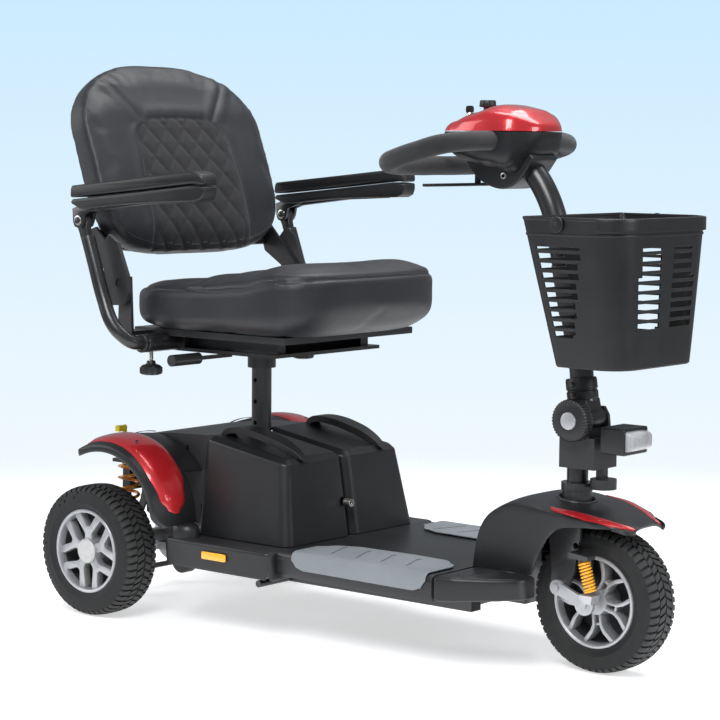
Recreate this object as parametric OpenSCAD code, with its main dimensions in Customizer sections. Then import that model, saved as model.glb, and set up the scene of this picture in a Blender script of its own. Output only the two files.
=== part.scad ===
// Three-wheeled travel mobility scooter, in millimetres.
// +X points forward, +Y to the rider's left, +Z up. The origin lies on the ground, midway between
// the front and rear axles.

/* [Wheels] */
// Distance between the front and rear axles
wheelbase = 910; // [890:1:930]
// Outer diameter of all three tyres
tyre_d = 229; // [222:0.5:232]
// Width of each tyre
tyre_w = 75; // [66:1:78]
// Diameter of the rims, where the tyres seat
rim_d = 148; // [130:1:170]
// Distance between the middles of the rear tyres
rear_track = 449; // [445:1:480]
// Diameter of the stub axles and of the front axle bolt
axle_d = 12; // [10:1:16]

/* [Deck] */
// Half of the deck's width
deck_half = 205; // [190:1:215]
// Height of the deck's top
deck_top = 157; // [150:1:165]
// Height of the deck's side walls
deck_side = 42; // [30:1:48]
// Thickness of moulded covers
wall = 4; // [3:0.5:5]
// Where the deck meets the nose
nose_x = 268; // [255:1:272]

/* [Frame] */
// Side of the square frame rails
rail = 25; // [20:1:28]
// Distance from the middle to each rail's centre line
rail_y = 110; // [105:1:115]

/* [Battery packs] */
// Length of the packs at the base
pack_l = 213; // [180:1:214]
// Half-width of the pair of packs at the base
pack_half = 172; // [160:1:180]
// Half-width of the pair of packs at the top
pack_top_half = 150; // [140:1:160]

/* [Seat] */
// Diameter of the seat post
post_d = 35; // [30:1:38]
// Height of the seat post's top
post_top = 463; // [455:1:465]
// Half of the cushion's width
seat_half = 205; // [180:1:208]
// Height of the backrest's top
back_top = 967; // [900:1:990]
// Rake of the backrest from vertical
back_rake = 19; // [18:1:20]
// Half of the backrest's width
back_half = 226; // [200:1:230]
// Height of the backrest's hinge
back_hinge_z = 585; // [583:1:590]
// Distance from the middle to the inner side of each armrest pad
pad_in = 240; // [238:1:250]
// Width of each armrest pad
pad_w = 45; // [38:1:50]

/* [Tiller] */
// Where the upright steering axis stands
steer_x = 400; // [396:1:402]
// Diameter of the steering stem
stem_d = 34; // [28:1:36]
// Height of the tilt hinge
tilt_z = 400; // [398:1:404]
// Diameter of the tiller tube
tiller_d = 38; // [32:1:40]
// Half of the handlebar loop's width
bar_half = 200; // [180:1:220]
// Diameter of the handlebar's foam grip
bar_d = 32; // [26:1:34]

/* [Basket] */
// Half of the basket's width at its rim
basket_half = 140; // [120:1:150]
// Height of the basket's rim
basket_rim = 719; // [700:1:725]

/* [Hidden] */
$fn = 48;

axle_z = tyre_d / 2;
rear_x = -wheelbase / 2;
front_x = wheelbase / 2;
wheel_y = rear_track / 2;
rim_r = rim_d / 2;
fit = 0.05;          // radial running clearance of a turning or sliding shaft
gap = 0.3;           // clearance between pieces that move past each other
deck_low = deck_top - deck_side;
rail_top = deck_low - 1;
post_x = -274;
pack_x0 = post_x + 1;
pack_x1 = pack_x0 + pack_l;
socket_r = post_d / 2 + 8;
sub_z = 262;         // underside of the rear subframe
pivot_x = -262;      // rear suspension pivot
pivot_z = 103;
spring_y = 150;
knuckle_x = 403;     // front suspension pivot
knuckle_z = 135;
fork_y = tyre_w / 2 + 7.5;
arm_y = fork_y + 7;
tilt_x = 420;
lug_half = 25.5;
hinge_x = -395;      // backrest hinge
arm_x = -350;        // armrest bar
arm_z = 483;
arm_r = 11;
leg_r = 12.5;
leg_y = pad_in + pad_w / 2;
pad_hinge_x = -450;
pad_hinge_z = 692;
crown_z = axle_z + tyre_d / 2 + 8;
head_z0 = crown_z + 8;
head_z1 = 284;
bar_x = 200;
bar_z = 813;
bar_len = 77;
bar_slope = 15.6;
basket_low = 489;
arch_r = 188;        // radius of the rear fenders' arches
roller_x = rear_x - 86;
roller_z = 42;
lever_x = -484;      // freewheel lever's pivot
lever_z = 256;
knob_y = 200;

// Points along an arc, from angle a0 to a1
function arc(x, y, r, a0, a1, n = 5) =
  [for (i = [0:n]) [x + r * cos(a0 + (a1 - a0) * i / n), y + r * sin(a0 + (a1 - a0) * i / n)]];
// Outline of a rectangle with round corners
function round_rect(x0, x1, y0, y1, r, n = 4) = concat(
  arc(x1 - r, y1 - r, r, 0, 90, n), arc(x0 + r, y1 - r, r, 90, 180, n),
  arc(x0 + r, y0 + r, r, 180, 270, n), arc(x1 - r, y0 + r, r, 270, 360, n));
function unit(v) = v / norm(v);
function last(v) = len(v) - 1;
// Direction of travel at point i of a path
function heading(p, i) = unit(p[min(i + 1, last(p))] - p[max(i - 1, 0)]);

module both_sides() {
  children();
  mirror([0, 1, 0]) children();
}
// A round bar along Y
module bar_y(r, x, z, y0, y1) {
  translate([x, y0, z]) rotate([-90, 0, 0]) cylinder(r = r, h = y1 - y0);
}
// A box between two corners
module block(a, b) {
  translate(a) cube(b - a);
}
// A side outline, in X and Z, made solid from y0 to y1
module side(y0, y1, points) {
  translate([0, y1, 0]) rotate([90, 0, 0]) linear_extrude(y1 - y0) polygon(points);
}
// A flat link between two round bosses, along Y
module link(x0, z0, r0, x1, z1, r1, y0, y1) {
  bar_y(r0, x0, z0, y0, y1);
  bar_y(r1, x1, z1, y0, y1);
  a = atan2(z1 - z0, x1 - x0);
  w = min(r0, r1) * 0.8;
  side(y0, y1, [
    [x0 - w * sin(a), z0 + w * cos(a)], [x1 - w * sin(a), z1 + w * cos(a)],
    [x1 + w * sin(a), z1 - w * cos(a)], [x0 + w * sin(a), z0 - w * cos(a)]]);
}
// A round tube swept along a path; ref is never parallel to the path
module sweep(path, r, ref, sides = 12) {
  n = len(path);
  rings = [for (i = [0:n - 1]) let(t = heading(path, i), u = unit(cross(t, ref)), v = cross(u, t))
    for (k = [0:sides - 1]) path[i] + r * (cos(360 * k / sides) * u + sin(360 * k / sides) * v)];
  polyhedron(rings, concat(
    [[for (k = [sides - 1:-1:0]) k]],
    [for (i = [0:n - 2]) for (k = [0:sides - 1])
      [i * sides + k, i * sides + (k + 1) % sides, (i + 1) * sides + (k + 1) % sides, (i + 1) * sides + k]],
    [[for (k = [0:sides - 1]) (n - 1) * sides + k]]), convexity = 6);
}

// ---- Chassis ----
module main_frame() {
  color("dimgray") difference() {
    union() {
      both_sides() {
        block([post_x - 6, rail_y - rail / 2, rail_top - rail], [285, rail_y + rail / 2, rail_top]);
        block([post_x - 26, rail_y - rail / 2, rail_top - rail], [post_x - 1, rail_y + rail / 2, sub_z + 5]);
        block([rear_x - 16, rail_y - rail / 2, sub_z], [post_x - 1, rail_y + rail / 2, sub_z + 18]);
        block([rear_x - 20, rail_y, sub_z], [rear_x + 20, spring_y + 21, sub_z + 6]);
        bar_y(6, -100, deck_low - 20, rail_y, deck_half - wall - 1);
      }
      // cross members under the deck and under the tray
      for (x = [-232, -51, 110, 245])
        block([x, -rail_y, rail_top - rail + 2], [x + 20, rail_y, rail_top]);
      for (x = [-51, 110, 245])
        block([x, -rail_y, rail_top - 5], [x + 20, rail_y, deck_top - wall]);
      // seat post socket, its foot and its upper brace
      block([post_x - 30, -62, rail_top - rail + 2], [post_x + 50, 62, rail_top - rail + 9]);
      translate([post_x, 0, rail_top - rail + 2]) cylinder(r = socket_r, h = 315 - rail_top + rail - 2);
      block([post_x - 26, -rail_y, sub_z], [post_x - 2, rail_y, sub_z + 18]);
      // neck and steering head
      side(-22, 22, [
        [255, rail_top - rail + 2], [318, rail_top - rail + 2], [318, 205], [350, head_z0 + 1],
        [steer_x - 10, head_z0 + 1], [steer_x - 10, 266], [338, 266], [300, 228], [298, rail_top], [255, rail_top]]);
      translate([steer_x, 0, head_z0]) cylinder(r = 24, h = head_z1 - head_z0);
    }
    translate([post_x, 0, rail_top - rail + 12]) cylinder(d = post_d + 2 * fit, h = 300);
    translate([steer_x, 0, head_z0 - 1]) cylinder(d = stem_d + 2 * fit, h = 100);
    both_sides() bar_y(6 + fit, pivot_x, pivot_z, rail_y - rail, rail_y + rail);
  }
}
module base_tray() {
  x0 = post_x - 26;
  x1 = pack_x1 + wall;
  y1 = 225;
  color("darkslategray") difference() {
    block([x0, -y1, deck_top - 52], [x1 - gap, y1, deck_top - 2]);
    block([x0 + wall, -y1 + wall, 0], [x1 - wall, y1 - wall, deck_top - 2 - wall]);
    block([x0 - 1, -rail_y - rail / 2 - 4, 0], [post_x + 4, rail_y + rail / 2 + 4, deck_top]);
    block([post_x - 8, -socket_r - 2, 0], [post_x + socket_r + 3, socket_r + 2, deck_top]);
    block([x1 - 2 * wall, -rail_y - rail / 2 - 1, 0], [x1 + 1, rail_y + rail / 2 + 1, deck_top - wall - 4]);
  }
}
module deck_panel() {
  x0 = pack_x1 + wall;
  color("darkslategray") difference() {
    side(-deck_half, deck_half, [
      [x0, deck_low], [nose_x, deck_low], [nose_x, deck_top], [x0, deck_top]]);
    block([x0 + wall, -deck_half + wall, 0], [nose_x - wall, deck_half - wall, deck_top - wall]);
    block([x0 - 1, -rail_y - rail / 2 - 1, 0], [nose_x + 1, rail_y + rail / 2 + 1, deck_top - wall]);
  }
}
module deck_nose() {
  well = 99;
  color("darkslategray") translate([0, 0, deck_low]) difference() {
    linear_extrude(deck_side) polygon([
      [nose_x + gap, -deck_half], [300, -deck_half + 8], [372, -150], [390, -128],
      [390, 128], [372, 150], [300, deck_half - 8], [nose_x + gap, deck_half]]);
    translate([0, 0, -1]) linear_extrude(deck_side - wall + 1) polygon([
      [nose_x + wall, -deck_half + wall + 1], [298, -deck_half + 13], [368, -147], [385, -126],
      [385, 126], [368, 147], [298, deck_half - 13], [nose_x + wall, deck_half - wall - 1]]);
    block([322, -well, -1], [400, well, deck_side + 1]);
    block([nose_x, -rail_y - rail / 2 - 1, -1], [290, rail_y + rail / 2 + 1, deck_side - wall]);
    block([294, -24, -1], [330, 24, deck_side + 1]);
  }
}
module foot_pads() {
  color("lightslategray") both_sides() difference() {
    translate([0, 0, deck_top - 27]) linear_extrude(30) polygon([
      [-20, 95], [230, 95], [250, 110], [258, deck_half + wall], [-20, deck_half + wall]]);
    block([-30, 0, deck_top - 30], [270, deck_half, deck_top]);
    for (x = [20:52:190]) translate([x, 125, deck_top + 1]) linear_extrude(4)
      polygon(round_rect(0, 14, 0, 50, 6));
  }
}
module side_reflectors() {
  color("orange") both_sides()
    translate([0, 225, 0]) side(0, 3, round_rect(-205, -150, 128, 142, 6));
}
module rear_cover() {
  y1 = rail_y + rail / 2 + wall + 0.5;
  outer = [[post_x - 27, 165], [post_x - 27, 200], [post_x - 2, 202], [post_x - 2, 322], [-380, 318],
    [-462, 306], [-493, 262], [-495, 205], [-420, 165]];
  inner = [[post_x + 9, 160], [post_x + 9, 318], [-379, 314], [-459, 302], [-489, 261], [-491, 190], [-420, 150]];
  color("darkslategray") difference() {
    side(-y1, y1, outer);
    side(-y1 + wall, y1 - wall, inner);
    translate([post_x, 0, 200]) cylinder(r = socket_r + 1, h = 200);
    for (s = [-1, 1]) block(
      [rear_x - 21, s * y1 - 5, 160], [rear_x + 21, s * y1 + 5, sub_z + 7]);
    for (x = [-420:14:-330]) block([x, -y1 - 1, 285], [x + 6, y1 + 1, 300]);
    bar_y(3 + fit, lever_x, lever_z, -y1 - 1, -y1 + wall + 1);
  }
}
// An arch over a rear wheel, from angle a0 to a1 and d outside the fender's inner face, swelling at its front
function arch(d, a0, a1) = [for (i = [0:14])
  let(t = a0 + (a1 - a0) * i / 14, q = arch_r + d + 32 * sin(180 * (97 - t) / 88))
  [rear_x + q * cos(t), axle_z + q * sin(t)]];
function reversed(v) = [for (i = [last(v):-1:0]) v[i]];
fender_in = rail_y + rail / 2 + wall + 0.9;
fender_y = 262;
module rear_fenders() {
  color("darkslategray") both_sides() {
    side(fender_in, pack_half + 4, concat(arch(0, 97, 42), reversed(arch(-5, 97, 42))));
    side(pack_half + 3, fender_y, concat(arch(0, 97, 19), reversed(arch(-5, 97, 19))));
    side(pack_half + 3, pack_half + 7, concat(arch(-1, 80, 19), reversed(arch(-22, 80, 19))));
  }
}
module red_panels() {
  color("firebrick") both_sides() {
    side(pack_half + 4, fender_y - 8, concat(arch(4.5, 90, 24), reversed(arch(0.3, 90, 24))));
    intersection() {
      side(46, 93, [[400, 270.3], [462, 262.3], [535, 243], [535, 246], [462, 266.5], [400, 274.5]]);
      linear_extrude(400) polygon([[404, 90], [470, 88], [532, 46], [520, 46], [460, 70], [404, 80]]);
    }
  }
}
module front_fender() {
  roof = [[nose_x, deck_top], [nose_x + 20, 243], [308, 264], [343, 276], [400, 270], [462, 262], [534, 242]];
  under = [[534, 240.5], [462, 258], [400, 266], [345, 272], [311, 260], [nose_x + 24, 241], [nose_x + 4.5, deck_top]];
  flank = [[nose_x, deck_top], [nose_x + 20, 243], [308, 264], [343, 276], [400, 270], [462, 262], [534, 242],
    [534, 240.5], [470, 240], [437, 240], [412, 228], [392, 195], [378, deck_top]];
  plan = [[200, -98], [450, -98], [520, -62], [545, -20], [545, 20], [520, 62], [450, 98], [200, 98]];
  color("darkslategray") difference() {
    intersection() {
      union() {
        side(-98, 98, concat(roof, under));
        both_sides() side(97.5 - wall, 98, flank);
      }
      linear_extrude(400) polygon(plan);
    }
    translate([steer_x, 0, 200]) cylinder(r = 28, h = 100);
  }
}
module controller() {
  color("silver") block([post_x + 60, -50, rail_top + 3], [post_x + 175, 50, deck_top - 8]);
  color("silver") for (y = [-40, 32]) block([post_x + 44, y, rail_top], [post_x + 62, y + 8, rail_top + 8]);
}
module anti_tip_brackets() {
  y1 = rail_y - rail / 2 - gap;
  color("dimgray") both_sides() difference() {
    union() {
      link(rear_x - 6, sub_z + 7, 10, rear_x - 15, 190, 9, y1 - 4.5, y1);
      link(rear_x - 15, 190, 9, roller_x, roller_z, 11, y1 - 4.5, y1);
    }
    bar_y(5 + fit, roller_x, roller_z, 0, 200);
  }
}
module anti_tip_rollers() {
  y1 = rail_y - rail / 2 - gap - 4.5;
  color("black") {
    both_sides() bar_y(24, roller_x, roller_z, y1 - 22, y1 - 1);
    bar_y(5, roller_x, roller_z, -y1 - 6, y1 + 6);
  }
}
module charger_port() {
  color("silver") translate([pack_x1 - 15, -16, 215]) rotate([0, 90, 0]) cylinder(r = 7, h = 14);
}

// ---- Battery packs, one on each side of the seat post ----
// The pack's outline at its base and top, drawn in by d all round; s is -1 for the right
module pack_body(s, d) {
  top_r = 292;
  hull() {
    translate([0, 0, deck_top - 2 + d]) linear_extrude(2) polygon(
      round_rect(pack_x0 + d, pack_x1 - d, min(s * (1 + d), s * (pack_half - d)),
        max(s * (1 + d), s * (pack_half - d)), 22));
    translate([pack_x0 + d, 0, top_r + 28 - d]) rotate([0, 9, 0]) linear_extrude(1) polygon(
      round_rect(2, pack_l - 24 - 2 * d, min(s * (1 + d), s * (pack_top_half - d)),
        max(s * (1 + d), s * (pack_top_half - d)), 18));
  }
}
module battery_shell(s) {
  color("darkslategray") {
    difference() {
      pack_body(s, 0);
      pack_body(s, wall);
      translate([post_x, 0, 100]) cylinder(r = socket_r + 2, h = 300);
      if (s < 0) translate([pack_x1 - 20, -16, 215]) rotate([0, 90, 0]) cylinder(r = 7 + gap, h = 30);
    }
    // raised carry handle
    side(min(s * 95, s * 130), max(s * 95, s * 130), [
      [-262, 318], [-250, 334], [-225, 341], [-180, 338], [-130, 326], [-95, 309], [-76, 292],
      [-92, 296], [-110, 303], [-140, 315], [-185, 326], [-225, 329], [-243, 324], [-248, 315]]);
  }
}
module battery_cells(s) {
  cell_l = (pack_l - 49) / 2;
  color("slategray") for (x = [16, 20 + cell_l])
    block([pack_x0 + x, min(s * 38, s * 138), deck_top + 2.5], [pack_x0 + x + cell_l, max(s * 38, s * 138), 262]);
}

// ---- Drive unit on its suspension arms ----
module transaxle() {
  color("gray") {
    bar_y(46, rear_x, axle_z, -40, 40);
    both_sides() {
      bar_y(20, rear_x, axle_z, 30, wheel_y - tyre_w / 2 - 4);
      bar_y(axle_d / 2, rear_x, axle_z, wheel_y - tyre_w / 2 - 5, wheel_y + 18);
      bar_y(6, pivot_x, pivot_z, rail_y - 30, rail_y + rail / 2 + 4);
      block([rear_x, 72, 98], [pivot_x, rail_y - rail / 2 - 4, 112]);
      bar_y(12, pivot_x, pivot_z, 72, rail_y - rail / 2 - 2);
      translate([rear_x, spring_y, axle_z]) cylinder(r = 17, h = 23);
    }
  }
}
module drive_motor() {
  color("black") translate([rear_x + 46, 0, axle_z + 8]) rotate([0, 90, 0]) cylinder(r = 38, h = 90);
}
module coil_spring(x, y, z0, z1, r, wire) {
  translate([x, y, z0]) difference() {
    cylinder(r = r, h = z1 - z0);
    translate([0, 0, -1]) cylinder(r = r - wire, h = z1 - z0 + 2);
  }
}
module rear_springs() {
  color("orange") both_sides()
    coil_spring(rear_x, spring_y, axle_z + 23.2, sub_z - 0.2, 20, 5);
}

// ---- Wheels ----
module tyre(x, y) {
  shoulder = 12;
  w = tyre_w / 2;
  color("black") translate([x, y, axle_z]) rotate([-90, 0, 0]) rotate_extrude($fn = 64) polygon([
    [rim_r + 0.1, -w + 6], [rim_r + 8, -w], [axle_z - 26, -w], [axle_z - 10, -w + 3], [axle_z - 2, -w + shoulder],
    [axle_z, -w + 22], [axle_z, w - 22], [axle_z - 2, w - shoulder], [axle_z - 10, w - 3], [axle_z - 26, w],
    [rim_r + 8, w], [rim_r + 0.1, w - 6]]);
}
// A rim with five forked spokes; out is the side its face looks to, and bolt opens its face
module rim(x, y, out, bolt) {
  face = 32;
  hub = tyre_w / 2 + (bolt ? 3 : -1);
  color("silver") translate([x, y, axle_z]) rotate([-90 * out, 0, 0]) difference() {
    union() {
      difference() {
        cylinder(r = rim_r, h = 2 * face, center = true, $fn = 64);
        cylinder(r = rim_r - 9, h = 2 * face + 2, center = true, $fn = 64);
      }
      translate([0, 0, -hub]) cylinder(r = 19, h = hub + face - 4);
      for (k = [0:4]) rotate(k * 72) {
        block([14, -7, 8], [42, 7, 22]);
        for (t = [-1, 1]) translate([38, 0, 8]) rotate(t * 24) block([-2, -4.5, 0], [31, 4.5, 13]);
      }
    }
    translate([0, 0, -hub - 1]) cylinder(d = axle_d + 2 * fit, h = bolt ? 100 : hub + 20);
  }
}

// ---- Levers on the chassis ----
module freewheel_lever() {
  y1 = -(rail_y + rail / 2 + wall + 0.9);
  color("gold") {
    link(lever_x, lever_z, 6, lever_x - 3, lever_z + 62, 5, y1 - 3, y1);
    bar_y(3, lever_x, lever_z, y1 - 1, y1 + 9);
    block([lever_x - 8, y1 - 20, lever_z + 56], [lever_x + 2, y1 - 2, lever_z + 66]);
  }
}

// ---- Seat ----
module seat_post() {
  color("black") difference() {
    translate([post_x, 0, 170]) cylinder(d = post_d, h = post_top - 170);
    translate([post_x, 0, 169]) cylinder(d = post_d - 7, h = post_top - 170);
    for (z = [334, 372, 410]) bar_y(4, post_x, z, -30, 30);
  }
}
module seat_pan() {
  ear_y = 213;
  color("dimgray") difference() {
    union() {
      translate([post_x, 0, 432]) cylinder(r = 25, h = 40);
      block([-400, -140, 466], [-120, 140, 472]);
      block([-372, -140, 466], [-328, -100, 490]);
      block([-372, 100, 466], [-328, 140, 490]);
      both_sides() {
        bar_y(16, arm_x, arm_z, 60, 212);
        side(ear_y, ear_y + 6, [[-412, 494], [-378, 494], [-382, 596], [-408, 596]]);
        block([-412, ear_y - 60, 494], [-378, ear_y + 6, 502]);
      }
      // folded steel pan under the cushion, on two cross bars
      difference() {
        block([-420, -170, 494], [-70, 170, 505.5]);
        block([-416, -166, 493], [-74, 166, 502.5]);
      }
      both_sides() block([-400, 100, 470], [-130, 120, 503]);
    }
    translate([post_x, 0, 400]) cylinder(d = post_d + 2 * fit, h = post_top - 400 + 0.5);
    both_sides() {
      bar_y(arm_r + fit, arm_x, arm_z, 55, 225);
      bar_y(5 + fit, hinge_x, back_hinge_z, 200, 230);
      translate([arm_x, knob_y, arm_z - 25]) cylinder(r = 4 + fit, h = 20);
    }
    translate([post_x - 16, -80, 460]) cylinder(r = 4 + fit, h = 20);
  }
}
module seat_cushion() {
  color("darkslateblue") side(-seat_half, seat_half, [
    [-432, 506], [-440, 530], [-440, 570], [-425, 585], [-320, 592], [-200, 612], [-90, 629], [-45, 626],
    [-15, 606], [0, 572], [-4, 545], [-22, 518], [-60, 506]]);
}
module swivel_lever() {
  color("black") {
    block([post_x - 24, -150, 454], [post_x - 8, -68, 459]);
    translate([post_x - 16, -80, 455]) cylinder(r = 4, h = 16);
    bar_y(10, post_x - 16, 456.5, -212, -145);
  }
}
// Places its children in the plane of the raked backrest: local X is depth, Z is along the back
module raked() {
  translate([hinge_x, 0, back_hinge_z]) rotate([0, -back_rake, 0]) children();
}
back_len = (back_top - back_hinge_z) / cos(back_rake) + 2;
module back_frame() {
  color("black") {
    raked() translate([-54, 0, 0]) rotate([90, 0, 90]) linear_extrude(6)
      polygon(round_rect(-196, 196, 70, back_len - 75, 60, 6));
    both_sides() {
        raked() side(220, 226, [[-10, -10], [12, -8], [10, 20], [-30, 110], [-54, 110], [-54, 60], [-14, 10]]);
        raked() block([-54, 180, 72], [-48, 226, 110]);
        bar_y(5, hinge_x, back_hinge_z, 211, 224);
    }
  }
}
module back_cushion() {
  color("darkslateblue") raked() intersection() {
    translate([-60, 0, 0]) rotate([90, 0, 90]) linear_extrude(80) polygon(concat(
      arc(back_half - 120, back_len - 120, 120, 0, 90, 7), arc(-back_half + 120, back_len - 120, 120, 90, 180, 7),
      [[-back_half, 130]], arc(-156, 110, 60, 180, 270, 5), arc(156, 110, 60, 270, 360, 5), [[back_half, 130]]));
    side(-back_half, back_half, [
      [-47.5, 50], [-2, 50], [6, 74], [12, 200], [8, 330], [-6, back_len], [-38, back_len],
      [-47.5, back_len - 74]]);
  }
}
module back_covers() {
  color("black") both_sides() difference() {
    side(226.6, 234, [
      [-432, 560], [-412, 546], [-380, 548], [-370, 570], [-374, 600], [-398, 655], [-420, 668], [-436, 650],
      [-430, 600]]);
    bar_y(7, hinge_x, back_hinge_z, 232, 240);
  }
}

// ---- Armrests ----
module arm_tube(s) {
  path = [[arm_x, s * 213.5, arm_z], [arm_x - 1, s * 228, arm_z + 1], [arm_x - 5, s * 242, arm_z + 4],
    [arm_x - 14, s * (leg_y - 9), arm_z + 14], [arm_x - 28, s * leg_y, arm_z + 32], [-402, s * leg_y, 560],
    [-424, s * leg_y, 620], [-440, s * leg_y, 668]];
  color("black") {
    bar_y(arm_r, arm_x, arm_z, min(s * 62, s * 222), max(s * 62, s * 222));
    sweep(path, leg_r, [0.92, 0, 0.39]);
    difference() {
      union() {
        bar_y(14, pad_hinge_x, pad_hinge_z, s * leg_y - 7, s * leg_y + 7);
        side(s * leg_y - 7, s * leg_y + 7, [[-447, 655], [-431, 655], [-440, 692], [-460, 692]]);
      }
      bar_y(6 + fit, pad_hinge_x, pad_hinge_z, s * leg_y - 20, s * leg_y + 20);
    }
  }
}
module arm_pad(s) {
  y0 = min(s * pad_in, s * (pad_in + pad_w));
  color("black") {
    side(y0, y0 + pad_w, [
      [-462, 722], [-466, 738], [-460, 752], [-300, 768], [-175, 781], [-158, 776], [-150, 758], [-156, 736],
      [-168, 730], [-300, 724], [-420, 712], [-440, 712]]);
    for (t = [-1, 1]) {
      y = s * leg_y + t * 11 - 3;
      link(pad_hinge_x, pad_hinge_z, 13, pad_hinge_x + 10, 722, 10, y, y + 6);
    }
    bar_y(6, pad_hinge_x, pad_hinge_z, s * leg_y - 17, s * leg_y + 17);
  }
}
module clamp_knob(s) {
  color("black") {
    translate([arm_x, s * knob_y, 428]) cylinder(r = 20, h = 16);
    translate([arm_x, s * knob_y, 440]) cylinder(r = 7, h = 20);
    translate([arm_x, s * knob_y, 450]) cylinder(r = 4, h = arm_z - arm_r - 451);
  }
}

// ---- Steering and front suspension ----
module steering_stem() {
  color("black") {
    translate([steer_x, 0, crown_z + 7.5]) cylinder(d = stem_d, h = 322 - crown_z - 7.5);
    translate([steer_x, 0, head_z1 + 0.4]) cylinder(r = 26, h = 12);
  }
}
module steering_fork() {
  y0 = fork_y;
  color("dimgray") difference() {
    union() {
      block([378, -y0 - 6, crown_z], [424, y0 + 6, crown_z + 7]);
      both_sides() {
        side(y0, y0 + 6, [
          [378, crown_z + 7], [441, crown_z + 7], [441, crown_z - 20], [436, 196], [432, 165], [416, 126],
          [396, 122], [388, 135], [388, 165]]);
        side(y0, y0 + 22, [[430, 186], [466, 186], [466, 192], [430, 196]]);
      }
    }
    both_sides() {
      bar_y(6 + fit, knuckle_x, knuckle_z, y0 - 5, y0 + 30);
      bar_y(5, 433, 204, y0 - 5, y0 + 10);
    }
  }
}
module swing_arm() {
  y0 = arm_y;
  color("silver") {
    both_sides() {
      link(knuckle_x, knuckle_z, 12, front_x, axle_z, 17, y0, y0 + 7);
      bar_y(6, knuckle_x, knuckle_z, y0 - 6.5, y0 + 12);
      side(y0 - 7, y0 + 16, [[462, 118], [474, 118], [476, 131], [452, 131], [452, 126]]);
    }
    bar_y(axle_d / 2, front_x, axle_z, -y0 - 10, y0 + 10);
  }
}
module front_springs() {
  color("gold") both_sides()
    translate([466, fork_y + 11, 134.4]) rotate([0, -16, 0]) difference() {
      cylinder(r = 10.5, h = 50);
      translate([0, 0, -1]) cylinder(r = 7, h = 52);
    }
}

// ---- Stem bracket, horn and headlight ----
module stem_bracket() {
  color("black") difference() {
    union() {
      block([steer_x - 14, -32, 322.2], [452, 32, 372]);
      both_sides() {
        side(lug_half + gap, 32, [[400, 370], [442, 370], [438, 404], [430, 417], [408, 417], [402, 404]]);
      }
      // the horn's drum and its stay
      translate([449, 0, 290]) cylinder(r = 21, h = 16);
      block([440, -8, 305], [452, 8, 323]);
    }
    bar_y(5 + fit, tilt_x, tilt_z, -50, 50);
  }
}
module headlight_housing() {
  color("black") difference() {
    union() {
      translate([452.2, 0, 371]) rotate([0, 90, 0]) cylinder(r = 12, h = 14);
      translate([464, 0, 0]) side(-34, 34, round_rect(0, 44, 350, 392, 8));
    }
    block([500, -29, 355], [520, 29, 387]);
  }
}
module headlight_lens() {
  color("white")
    side(-28.8, 28.8, [[500.2, 355.2], [512, 356], [520, 362], [520, 380], [512, 386], [500.2, 386.8]]);
}

// ---- Tiller ----
tiller_path = [[412, 0, 424], [407, 0, 445], [403, 0, 480], [393, 0, 526], [379, 0, 590], [365, 0, 650],
  [350, 0, 710], [331, 0, 752], [308, 0, 783], [290, 0, 801]];
module tiller_tube() {
  color("black") {
    sweep(tiller_path, tiller_d / 2, [0, 1, 0], 20);
    difference() {
      union() {
        bar_y(17, tilt_x, tilt_z, -lug_half, lug_half);
        side(-lug_half + 4, lug_half - 4, [[408, 398], [430, 398], [426, 432], [400, 432]]);
        translate([408, 0, 429]) rotate([0, -8, 0]) cylinder(r = 25, h = 34);
      }
      bar_y(5 + fit, tilt_x, tilt_z, -50, 50);
    }
    // basket bracket
    side(-30, 30, [[362, 640], [379, 560], [411.9, 560], [396, 640]]);
  }
}
module tilt_knob() {
  color("black") {
    bar_y(34, tilt_x, tilt_z, -58, -34);
    bar_y(14, tilt_x, tilt_z, -61, -57);
    bar_y(5, tilt_x, tilt_z, -35, 33);
    bar_y(9, tilt_x, tilt_z, 32.5, 39);
  }
}
head_cut = bar_d / 2 + 2 * gap;
key_x = 178;
speed_x = 214;
horn_y = -30;
horn_z = 823;
// The straight front stretch of the handlebar, which the head is moulded around
module bar_groove() {
  bar_y(head_cut, bar_x + bar_len * cos(bar_slope), bar_z + bar_len * sin(bar_slope), -120, 120);
}
head_low = [[146, 800], [150, 846], [335, 850], [338, 832], [322, 800], [296, 772], [268, 782], [240, 792]];
head_top = [[146, 846.3], [160, 860], [196, 878], [240, 890], [275, 892], [315, 884], [336, 868], [338, 850.6]];
module head_shell() {
  color("darkslategray") difference() {
    side(-78, 78, head_low);
    translate([0, 74, 0]) rotate([90, 0, 0]) linear_extrude(148) difference() {
      offset(delta = -wall) polygon(head_low);
      translate([255, 760]) square([90, 50]);
    }
    side(-74, 74, [[160, 840], [325, 840], [325, 860], [160, 860]]);
    bar_groove();
    translate([160, horn_y, horn_z]) rotate([0, -90, 0]) cylinder(r = 8 + gap, h = 30);
    // the end of the tiller tube
    translate([331, 0, 752]) rotate([0, -40, 0]) cylinder(d = tiller_d + 4, h = 70);
  }
}
module head_cover() {
  color("firebrick") difference() {
    side(-78, 78, head_top);
    side(-74, 74, [[164, 840], [170, 858], [198, 874], [240, 886], [275, 888], [313, 880], [331, 865], [333, 840]]);
    bar_groove();
    translate([key_x, 0, 835]) cylinder(r = 7 + gap, h = 60);
    translate([speed_x, 0, 835]) cylinder(r = 7 + gap, h = 60);
  }
}
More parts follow.
